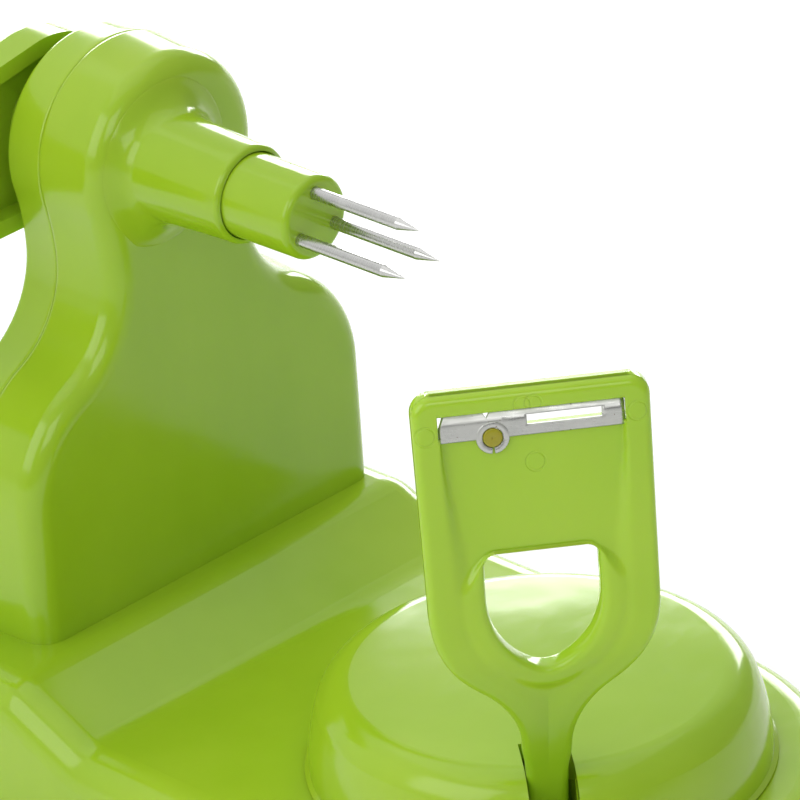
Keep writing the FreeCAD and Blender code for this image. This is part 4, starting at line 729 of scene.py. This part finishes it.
def blade_plate():
    """The blade as a grid of rows down and columns across, without the cells of its slit.

    The top edge dips in a notch above the tab and the lower edge rises over the tab's hole in an arc;
    the rows share out the height between the two. The left end leans in towards its top.
    """
    left = np.unique(np.concatenate([
        np.linspace(-BLADE_HALF, PEG_ACROSS - TAB_RADIUS, 12),
        PEG_ACROSS - PEG_RADIUS * np.cos(np.linspace(0.0, np.pi, 33)),
        NOTCH_ACROSS + NOTCH_HALF * np.linspace(-1.0, 1.0, 9),
        np.linspace(PEG_ACROSS + TAB_RADIUS, SLIT_LEFT, 8),
    ]))
    slit = np.linspace(SLIT_LEFT, SLIT_RIGHT, 24)
    right = np.linspace(SLIT_RIGHT, BLADE_HALF, 6)
    columns = np.concatenate([left, slit[1:], right[1:]])
    top = NOTCH_DEEP * np.clip(1 - np.abs(columns - NOTCH_ACROSS) / NOTCH_HALF, 0.0, 1.0)
    reach = np.clip(PEG_RADIUS**2 - (columns - PEG_ACROSS) ** 2, 0.0, None)
    in_tab = np.abs(columns - PEG_ACROSS) < PEG_RADIUS - 1e-6
    low = np.where(in_tab, PEG_DOWN - np.sqrt(reach), BLADE_HIGH)
    steps = np.concatenate([
        np.linspace(0.0, SLIT_HIGH, CELLS_ABOVE_SLIT + 1),
        np.linspace(SLIT_HIGH, SLIT_LOW, CELLS_BESIDE_SLIT + 1)[1:],
        np.linspace(SLIT_LOW, BLADE_HIGH, 7)[1:],
    ]) / BLADE_HIGH
    down = top + (low - top) * steps[:, None]
    slant = np.clip(SLANT_DOWN - down, 0.0, None) * END_SLANT
    left_end = PEG_ACROSS - TAB_RADIUS
    on_left = np.clip((left_end - columns) / (left_end + BLADE_HALF), 0.0, 1.0)
    across = columns + slant * on_left**3
    kept = np.ones((down.shape[0] - 1, down.shape[1] - 1), bool)
    slit_rows = slice(CELLS_ABOVE_SLIT, CELLS_ABOVE_SLIT + CELLS_BESIDE_SLIT)
    kept[slit_rows, left.size - 1:left.size + slit.size - 2] = False
    number = np.arange(down.size).reshape(down.shape)
    lift = blade_lift(down)
    points = both_sheets(on_head(down, across, lift + BLADE_THICK), on_head(down, across, lift))
    faces = slab_faces(number, kept)[:, ::-1]
    new_piece("blade_plate", "arm", "polished", points, faces, blade_steel, "peeler_blade")


def blade_tab():
    """The blade's round tab: a flat ring round the peg, split below by a narrow gap."""
    gap = math.radians(TAB_SPLIT)
    turn = np.linspace(gap, 2 * np.pi - gap, 64)
    radius = np.array([PEG_RADIUS + TAB_PLAY, PEG_RADIUS + TAB_BEVEL, TAB_RADIUS - TAB_BEVEL, TAB_RADIUS])
    down = PEG_DOWN + radius[:, None] * np.cos(turn)
    across = PEG_ACROSS + radius[:, None] * np.sin(turn)
    bevel = np.array([TAB_BEVEL_DEEP, 0.0, 0.0, TAB_BEVEL_DEEP])[:, None]
    front = on_head(down, across, BLADE_BASE + BLADE_THICK + TAB_PROUD - bevel)
    back = on_head(down, across, BLADE_BASE + TAB_LIFT + 0.0 * down)
    number = np.arange(down.size).reshape(down.shape)
    kept = np.ones((down.shape[0] - 1, down.shape[1] - 1), bool)
    faces = slab_faces(number, kept)[:, ::-1]
    new_piece("blade_tab", "arm", "polished", both_sheets(front, back), faces, blade_steel)


def blade_peg():
    """The moulded peg in the tab's hole: a short stud with a rounded top, as rings round its middle."""
    radius, lift = np.array(PEG_RINGS).T
    turn = np.linspace(0.0, 2 * np.pi, 48, endpoint=False)
    down = PEG_DOWN + radius[:, None] * np.cos(turn)
    across = PEG_ACROSS + radius[:, None] * np.sin(turn)
    points = on_head(down, across, lift[:, None] + 0.0 * down).reshape(-1, 3)
    faces = turned_faces(radius.size, turn.size)
    new_piece("blade_peg", "arm", "lime_arm", points, faces, peg_plastic)


peeling_arm()
pivot_eye()
blade_plate()
blade_tab()
blade_peg()

# Post shells, in millimetres: forward of the turntable's axis, to its left, above the table

SPINDLE_RISE = 111.0
POST_MIDDLE = 4.4
HEAD_CENTRE = 109.4
HEAD_RADIUS = 19.2
WAIST_RISE = 94.0
WAIST_HALF = 17.2
FLARE_RADIUS = 18.0
POST_HALF = 40.6
POST_SHOULDER = 57.0
POST_LOW = 24.0
POST_CORNER = 6.0
POST_SEAM = -94.5
POST_FACE = -80.5
POST_REAR = -103.4
POST_TAPER = 0.6
LEAST_SIDE_RUN = 0.1
FRONT_ROUND = 4.5
REAR_ROUND = 1.4
POST_WALL = 1.7
SEAM_NICK = 0.14
SHAFT_ROOM_FRONT = 8.0
SHAFT_ROOM_REAR = 3.4
LEAST_REACH = 1.2
LEDGE_RISE = 33.0
LEDGE_FADE = 6.0
BOSS_ROOT = 9.2
BOSS_TIP = 8.5
BOSS_END = -58.6
BOSS_LIP = 1.0
BOSS_HOLLOW = 6.0
BOSS_HOLLOW_SHARE = 0.7
BOSS_BACK = POST_FACE - 1.2
BOSS_BACK_RADIUS = BOSS_ROOT - 2.5
SKIRT_SUNK = 0.1
HUB_BORE = 7.46
HUB_BACK = -70.0
MOUTH_WIDE = 0.2
MOUTH_DEEP = 0.25
SHAFT_BORE = 2.56
COLLAR_RADIUS = 6.2
COLLAR_HIGH = 1.1
COLLAR_SUNK = 0.8
COLLAR_ROUND = 0.5

# Where the lines of the post's face end. Those that start above CIRCLE_FROM on the outline end on a
# small circle round the spindle. The others end on a slit down the middle: FACE_SLIT gives their end's
# height by their start's height, FOOT_SLIT by how far from the middle they start, and SLIT_ACROSS says
# where the slit lies at each height.

FACE_CIRCLE = SHAFT_BORE + 0.4
CIRCLE_FROM = WAIST_RISE - 2.0
SLIT_END = SPINDLE_RISE - FACE_CIRCLE
SLIT_STRAIGHT = 80.0
FOOT_CORNER = POST_LOW + POST_CORNER
FACE_SLIT = ((FOOT_CORNER, 42.0), (POST_SHOULDER, 60.0), (SLIT_STRAIGHT, 80.0), (CIRCLE_FROM, SLIT_END))
FOOT_SLIT = ((0.0, 30.0), (POST_HALF - POST_CORNER, 42.0))
SLIT_ACROSS = ((SLIT_STRAIGHT, POST_MIDDLE), (SLIT_END, 0.0))

# Grid rows of a post half beside its seam: distance from the seam and how far the surface lies inwards

SEAM_ROWS = ((0.0, SEAM_NICK), (SEAM_NICK, 0.0), (0.6, 0.02), (2.0, 0.2))
RIM_ROWS = 15
FACE_ROWS = 16


def arc(centre, radius, start, end):
    """Return points on a circle from one angle to another."""
    turn = np.linspace(start, end, 120)
    return np.stack([centre[0] + radius * np.cos(turn), centre[1] + radius * np.sin(turn)], axis=-1)


def post_outline():
    """The post's outline in even steps, clockwise from its top, and the outward direction at each.

    Half of it is arcs that touch each other, for the head, the hollow below it, the flare and the foot's
    shoulder, then a straight side and a corner under the ledge. The other half is its mirror image.
    """
    below = HEAD_CENTRE - WAIST_RISE
    upper = (WAIST_HALF**2 + below * below - HEAD_RADIUS**2) / (2 * (HEAD_RADIUS - WAIST_HALF))
    neck = math.atan2(-below, WAIST_HALF + upper)
    fall = WAIST_RISE - POST_SHOULDER
    widening = POST_HALF - WAIST_HALF
    shoulder = (widening * widening + fall * fall) / (2 * widening) - FLARE_RADIUS
    bend = math.atan2(fall, WAIST_HALF + FLARE_RADIUS - POST_HALF + shoulder)
    half = np.concatenate([
        arc((0.0, HEAD_CENTRE), HEAD_RADIUS, math.pi / 2, neck),
        arc((WAIST_HALF + upper, WAIST_RISE), upper, math.pi + neck, math.pi),
        arc((WAIST_HALF + FLARE_RADIUS, WAIST_RISE), FLARE_RADIUS, math.pi, math.pi + bend),
        arc((POST_HALF - shoulder, POST_SHOULDER), shoulder, bend, 0.0),
        arc((POST_HALF - POST_CORNER, FOOT_CORNER), POST_CORNER, 0.0, -math.pi / 2),
        [(0.0, POST_LOW)],
    ])
    steps = np.linalg.norm(np.diff(half, axis=0), axis=1)
    travel = np.concatenate([[0.0], np.cumsum(steps)])
    even = np.linspace(0.0, travel[-1], 161)
    right = np.stack([np.interp(even, travel, half[:, 0]), np.interp(even, travel, half[:, 1])], axis=-1)
    left = right[-2:0:-1] * (-1, 1)
    outline = np.concatenate([right, left]) + (POST_MIDDLE, 0.0)
    ahead = np.roll(outline, -1, axis=0) - np.roll(outline, 1, axis=0)
    outward = np.stack([-ahead[:, 1], ahead[:, 0]], axis=-1)
    return outline, outward / np.linalg.norm(outward, axis=1)[:, None]


def post_spine(outline):
    """Where the face's lines end: on a small circle round the spindle, and below it on a slit.

    A line from the head ends on the circle, whose two halves share out the lines by their angle round the
    spindle. A line from below the waist ends on the slit, at a height worked out from its own height or,
    under the foot, from its distance to the middle. Both sides meet in the slit.
    """
    across, height = outline.T
    open_part = height > CIRCLE_FROM
    side = from_table(height, FACE_SLIT)
    foot = from_table(np.abs(across - POST_MIDDLE), FOOT_SLIT)
    level = np.where(height < FOOT_CORNER, np.minimum(foot, side), side)
    middle = from_table(level, SLIT_ACROSS)
    high = np.flatnonzero(open_part)
    half = high < len(outline) / 2
    turn = np.unwrap(np.arctan2(height[high] - SPINDLE_RISE, across[high]))
    right = (turn[0] - turn) / (turn[0] - turn[half][-1])
    left = (turn - turn[-1]) / (turn[~half][0] - turn[-1])
    angle = np.pi / 2 + np.pi * np.where(half, -right, left)
    spine = np.stack([middle, level], axis=-1)
    spine[high, 0] = FACE_CIRCLE * np.cos(angle)
    spine[high, 1] = SPINDLE_RISE + FACE_CIRCLE * np.sin(angle)
    return spine, open_part


def on_post(along, across, height):
    """Carry the post's own millimetres into the frame in metres."""
    parts = np.broadcast_arrays(along, across, height)
    return np.stack(parts, axis=-1) * MM + (TABLE_X, TABLE_Y, 0.0)


def post_numbers(rows, columns, open_part):
    """Point numbers of a post half's grid, closed round the post, with the slit's two sides welded."""
    number = np.arange(rows * columns).reshape(rows, columns)
    slit = np.arange(np.flatnonzero(~open_part)[0] - 1, columns // 2)
    number[-1, columns - slit] = number[-1, slit]
    return np.concatenate([number, number[:, :1]], axis=1)


def post_shell(name, face, rounding, stands_for):
    """One half of the post as a grid: rows from the seam over the side and the rim to the face's slit.

    The side tapers from the seam's outline, the rim is a quarter circle and the face is flat. The inner
    sheet lies at the wall's thickness along the outward direction, which turns with the rim. Under the
    ledge the side starts further from the seam, which leaves room for the drive shaft.
    """
    way = math.copysign(1.0, face - POST_SEAM)
    outline, outward = post_outline()
    spine, open_part = post_spine(outline)
    reach = abs(face - POST_SEAM) - rounding
    room = min(reach - LEAST_REACH, SHAFT_ROOM_FRONT if way > 0 else SHAFT_ROOM_REAR)
    clear = room * smooth_step(LEDGE_RISE - outline[:, 1], 0.0, LEDGE_FADE)
    edge = outline - POST_TAPER * outward
    rim = np.linspace(0.0, np.pi / 2, RIM_ROWS)[:, None]
    cross = np.linspace(0.0, 1.0, FACE_ROWS + 1)[1:, None, None]
    depth, inset = np.array(SEAM_ROWS).T[..., None]
    started = np.minimum(depth + clear, reach - LEAST_SIDE_RUN)
    rim_in = rounding * (1 - np.cos(rim))[..., None]
    flat = np.concatenate([
        outline - inset[..., None] * outward,
        edge - rim_in * outward,
        (edge - rounding * outward) * (1 - cross) + spine * cross,
    ])
    along = np.concatenate([
        started,
        reach + rounding * np.sin(rim) + 0 * clear,
        np.full((FACE_ROWS, len(outline)), reach + rounding),
    ])
    lean = np.concatenate([np.zeros(len(SEAM_ROWS)), rim[:, 0], np.full(FACE_ROWS, np.pi / 2)])[:, None]
    within = flat - (POST_WALL * np.cos(lean))[..., None] * outward
    behind = along - POST_WALL * np.sin(lean)
    front = on_post(POST_SEAM + way * along, flat[..., 0], flat[..., 1])
    back = on_post(POST_SEAM + way * behind, within[..., 0], within[..., 1])
    rows, columns = along.shape
    number = post_numbers(rows, columns, open_part)
    faces = slab_faces(number, np.ones((rows - 1, columns), bool))
    faces = faces if way < 0 else faces[:, ::-1]
    new_piece(name, "base", "lime", both_sheets(front, back), faces, lime, stands_for)


def boss_profile():
    """The boss from its cone's end inwards, as places along the spindle and radii: the lip and the bore."""
    turn = np.linspace(0.0, math.pi / 2, 7)
    lip = np.stack([BOSS_END - BOSS_LIP + BOSS_LIP * np.sin(turn),
                    BOSS_TIP - BOSS_LIP + BOSS_LIP * np.cos(turn)], axis=-1)
    bore = [(BOSS_END, HUB_BORE + MOUTH_WIDE), (BOSS_END - MOUTH_DEEP, HUB_BORE), (HUB_BACK, HUB_BORE),
            (HUB_BACK, SHAFT_BORE), (BOSS_BACK, SHAFT_BORE), (BOSS_BACK, BOSS_BACK_RADIUS)]
    return np.concatenate([lip, bore]).T


def spindle_boss():
    """The spindle's boss: a cone with a rounded lip and the bore that the fork's hub turns in.

    It is a closed profile turned round the spindle. At its foot the profile starts with a hollow quarter
    circle that meets the face. Its radius is a share of the room to the post's outline, and it sinks
    with the rim's round.
    """
    turn = np.linspace(0.0, 2 * np.pi, 128, endpoint=False)
    outline, outward = post_outline()
    edge = outline - POST_TAPER * outward

    def at(radius):
        return radius * np.cos(turn), SPINDLE_RISE + radius * np.sin(turn)

    room = distance_to(edge, *at(BOSS_ROOT))
    hollow = np.minimum(BOSS_HOLLOW, BOSS_HOLLOW_SHARE * room)
    bend = np.linspace(0.0, np.pi / 2, 13)[:, None]
    radius = BOSS_ROOT + hollow * (1 - np.sin(bend))
    across, height = at(radius)
    sink = edge_drop(distance_to(edge, across, height), FRONT_ROUND)
    rise = hollow * (1 - np.cos(bend)) - sink
    rise[0] -= SKIRT_SUNK
    skirt = on_post(POST_FACE + rise, across, height)
    places, radii = boss_profile()
    cone = np.linspace(0.0, 1.0, 7)[1:-1, None]
    ends = POST_FACE + rise[-1]
    slope_x = ends + (places[0] - ends) * cone
    slope_r = BOSS_ROOT + (radii[0] - BOSS_ROOT) * cone + 0.0 * ends
    radius = np.concatenate([slope_r, radii[:, None] + 0.0 * turn])
    along = np.concatenate([slope_x, places[:, None] + 0.0 * turn])
    body = on_post(along, *at(radius))
    points = np.concatenate([skirt, body]).reshape(-1, 3)
    faces = turned_faces(len(skirt) + len(body), turn.size)
    new_piece("spindle_boss", "base", "lime", points, faces, lime)


def spindle_collar():
    """The low ring round the spindle at the back: a rectangle with one rounded corner turned round it."""
    turn = np.linspace(0.0, 2 * np.pi, 96, endpoint=False)
    corner = np.linspace(0.0, math.pi / 2, 6)
    root = POST_REAR + COLLAR_SUNK
    back = POST_REAR - COLLAR_HIGH
    profile = np.concatenate([
        [(root, COLLAR_RADIUS)],
        np.stack([back + COLLAR_ROUND - COLLAR_ROUND * np.sin(corner),
                  COLLAR_RADIUS - COLLAR_ROUND + COLLAR_ROUND * np.cos(corner)], axis=-1),
        [(back, SHAFT_BORE), (root, SHAFT_BORE)],
    ])
    along, radius = profile.T[..., None] + 0.0 * turn
    across = radius * np.cos(turn)
    height = SPINDLE_RISE + radius * np.sin(turn)
    points = on_post(along, across, height).reshape(-1, 3)
    faces = turned_faces(len(profile), turn.size)[:, ::-1]
    new_piece("spindle_collar", "base", "lime", points, faces, lime)


post_shell("post_front_half", POST_FACE, FRONT_ROUND, "post_front_shell")
post_shell("post_rear_half", POST_REAR, REAR_ROUND, "post_rear_shell")
spindle_boss()
spindle_collar()

# Floor, light and camera, in metres. Places are given from the turntable's axis and from the table.

FLOOR_HALF = 6.0
CAMERA_AIM = (-0.03417, 0.00651, 0.07815)
LIGHT_AIM = (-0.03, 0.0, 0.06)

# Surroundings: their strength all round, and a direction with the strength that is added towards it

AMBIENT = 0.30
FROM_LEFT = ((-0.9, -0.2, 0.4), 0.50)
FROM_ABOVE = ((0.0, 0.0, 1.0), 0.25)

# Softboxes, in metres and watts: name, place, width, height, power

SOFTBOXES = (
    ("light_top", (-0.15, 0.10, 1.2), 1.2, 1.2, 2.2),
    ("light_key", (-0.10, -1.1, 0.75), 0.9, 0.9, 4.8),
    ("light_back", (-0.9, 0.95, 0.36), 1.3, 0.42, 14.0),
    ("light_back_high", (-0.5, 1.0, 0.85), 1.0, 0.7, 0.3),
    ("light_front", (0.9, -0.75, 0.9), 0.6, 0.6, 2.2),
)


def from_turntable(x, y, z):
    """Return a place that is given from the turntable's axis and the table as one in the frame."""
    return TABLE_X + x, TABLE_Y + y, z


def studio_floor():
    """A wide flat sheet under the peeler."""
    mesh = bpy.data.meshes.new("studio_floor")
    corners = [(x * FLOOR_HALF, y * FLOOR_HALF, 0) for x, y in ((-1, -1), (1, -1), (1, 1), (-1, 1))]
    mesh.from_pydata(corners, [], [(0, 1, 2, 3)])
    graph = new_graph("pale_floor")
    cloud = graph.noise(3.0, 2.0, 0.5)
    tint = graph.blend(cloud, (0.90, 0.90, 0.90), (0.93, 0.93, 0.93))
    mesh.materials.append(graph.finish(Base_Color=tint, Roughness=0.6))
    floor = bpy.data.objects.new("studio_floor", mesh)
    bpy.context.scene.collection.objects.link(floor)


def softbox(name, place, aim, width, height, power):
    """A rectangular area light at a place, turned to face an aim point."""
    light = bpy.data.lights.new(name, "AREA")
    light.shape = "RECTANGLE"
    light.size = width
    light.size_y = height
    light.energy = power
    lamp = bpy.data.objects.new(name, light)
    lamp.location = place
    lamp.rotation_euler = (Vector(aim) - Vector(place)).to_track_quat("-Z", "Y").to_euler()
    bpy.context.scene.collection.objects.link(lamp)


def studio_light():
    """Pale surroundings, brighter to the left and above, and softboxes."""
    world = bpy.data.worlds.new("studio")
    bpy.context.scene.world = world
    graph = Graph(world)
    towards = graph.add("ShaderNodeTexCoord", output="Generated")
    strength = AMBIENT
    for direction, added in (FROM_LEFT, FROM_ABOVE):
        settings = {"operation": "DOT_PRODUCT"}
        share = graph.add("ShaderNodeVectorMath", settings, {0: towards, 1: direction}, output=1)
        strength = strength + graph.range(share, 0.0, 1.0, 0.0, added)
    white = (1.0, 1.0, 1.0, 1.0)
    background = graph.add("ShaderNodeBackground", {}, {"Color": white, "Strength": strength})
    graph.add("ShaderNodeOutputWorld", {}, {"Surface": background})
    for name, place, width, height, power in SOFTBOXES:
        softbox(name, from_turntable(*place), from_turntable(*LIGHT_AIM), width, height, power)


def photo_camera(azimuth, elevation, roll, aim, distance, lens):
    """A camera that looks at aim from an azimuth, elevation and roll in degrees."""
    turn = math.radians(azimuth)
    lift = math.radians(elevation)
    lean = math.radians(roll)
    back = Vector((math.sin(turn) * math.cos(lift), -math.cos(turn) * math.cos(lift), math.sin(lift)))
    right = Vector((math.cos(turn), math.sin(turn), 0.0))
    up = back.cross(right)
    across = right * math.cos(lean) - up * math.sin(lean)
    upward = right * math.sin(lean) + up * math.cos(lean)
    camera = bpy.data.objects.new("photo_camera", bpy.data.cameras.new("photo_camera"))
    camera.data.lens = lens
    camera.data.sensor_width = 36.0
    camera.data.clip_start = 0.05
    camera.data.clip_end = 30.0
    spot = Vector(aim) + back * distance
    turned = Matrix((across, upward, back)).transposed().to_4x4()
    camera.matrix_world = Matrix.Translation(spot) @ turned
    bpy.context.scene.collection.objects.link(camera)
    bpy.context.scene.camera = camera


studio_floor()
studio_light()
photo_camera(azimuth=45.68, elevation=27.19, roll=3.92, aim=from_turntable(*CAMERA_AIM), distance=1.0,
             lens=273.4)
bpy.context.scene.view_settings.view_transform = "Standard"
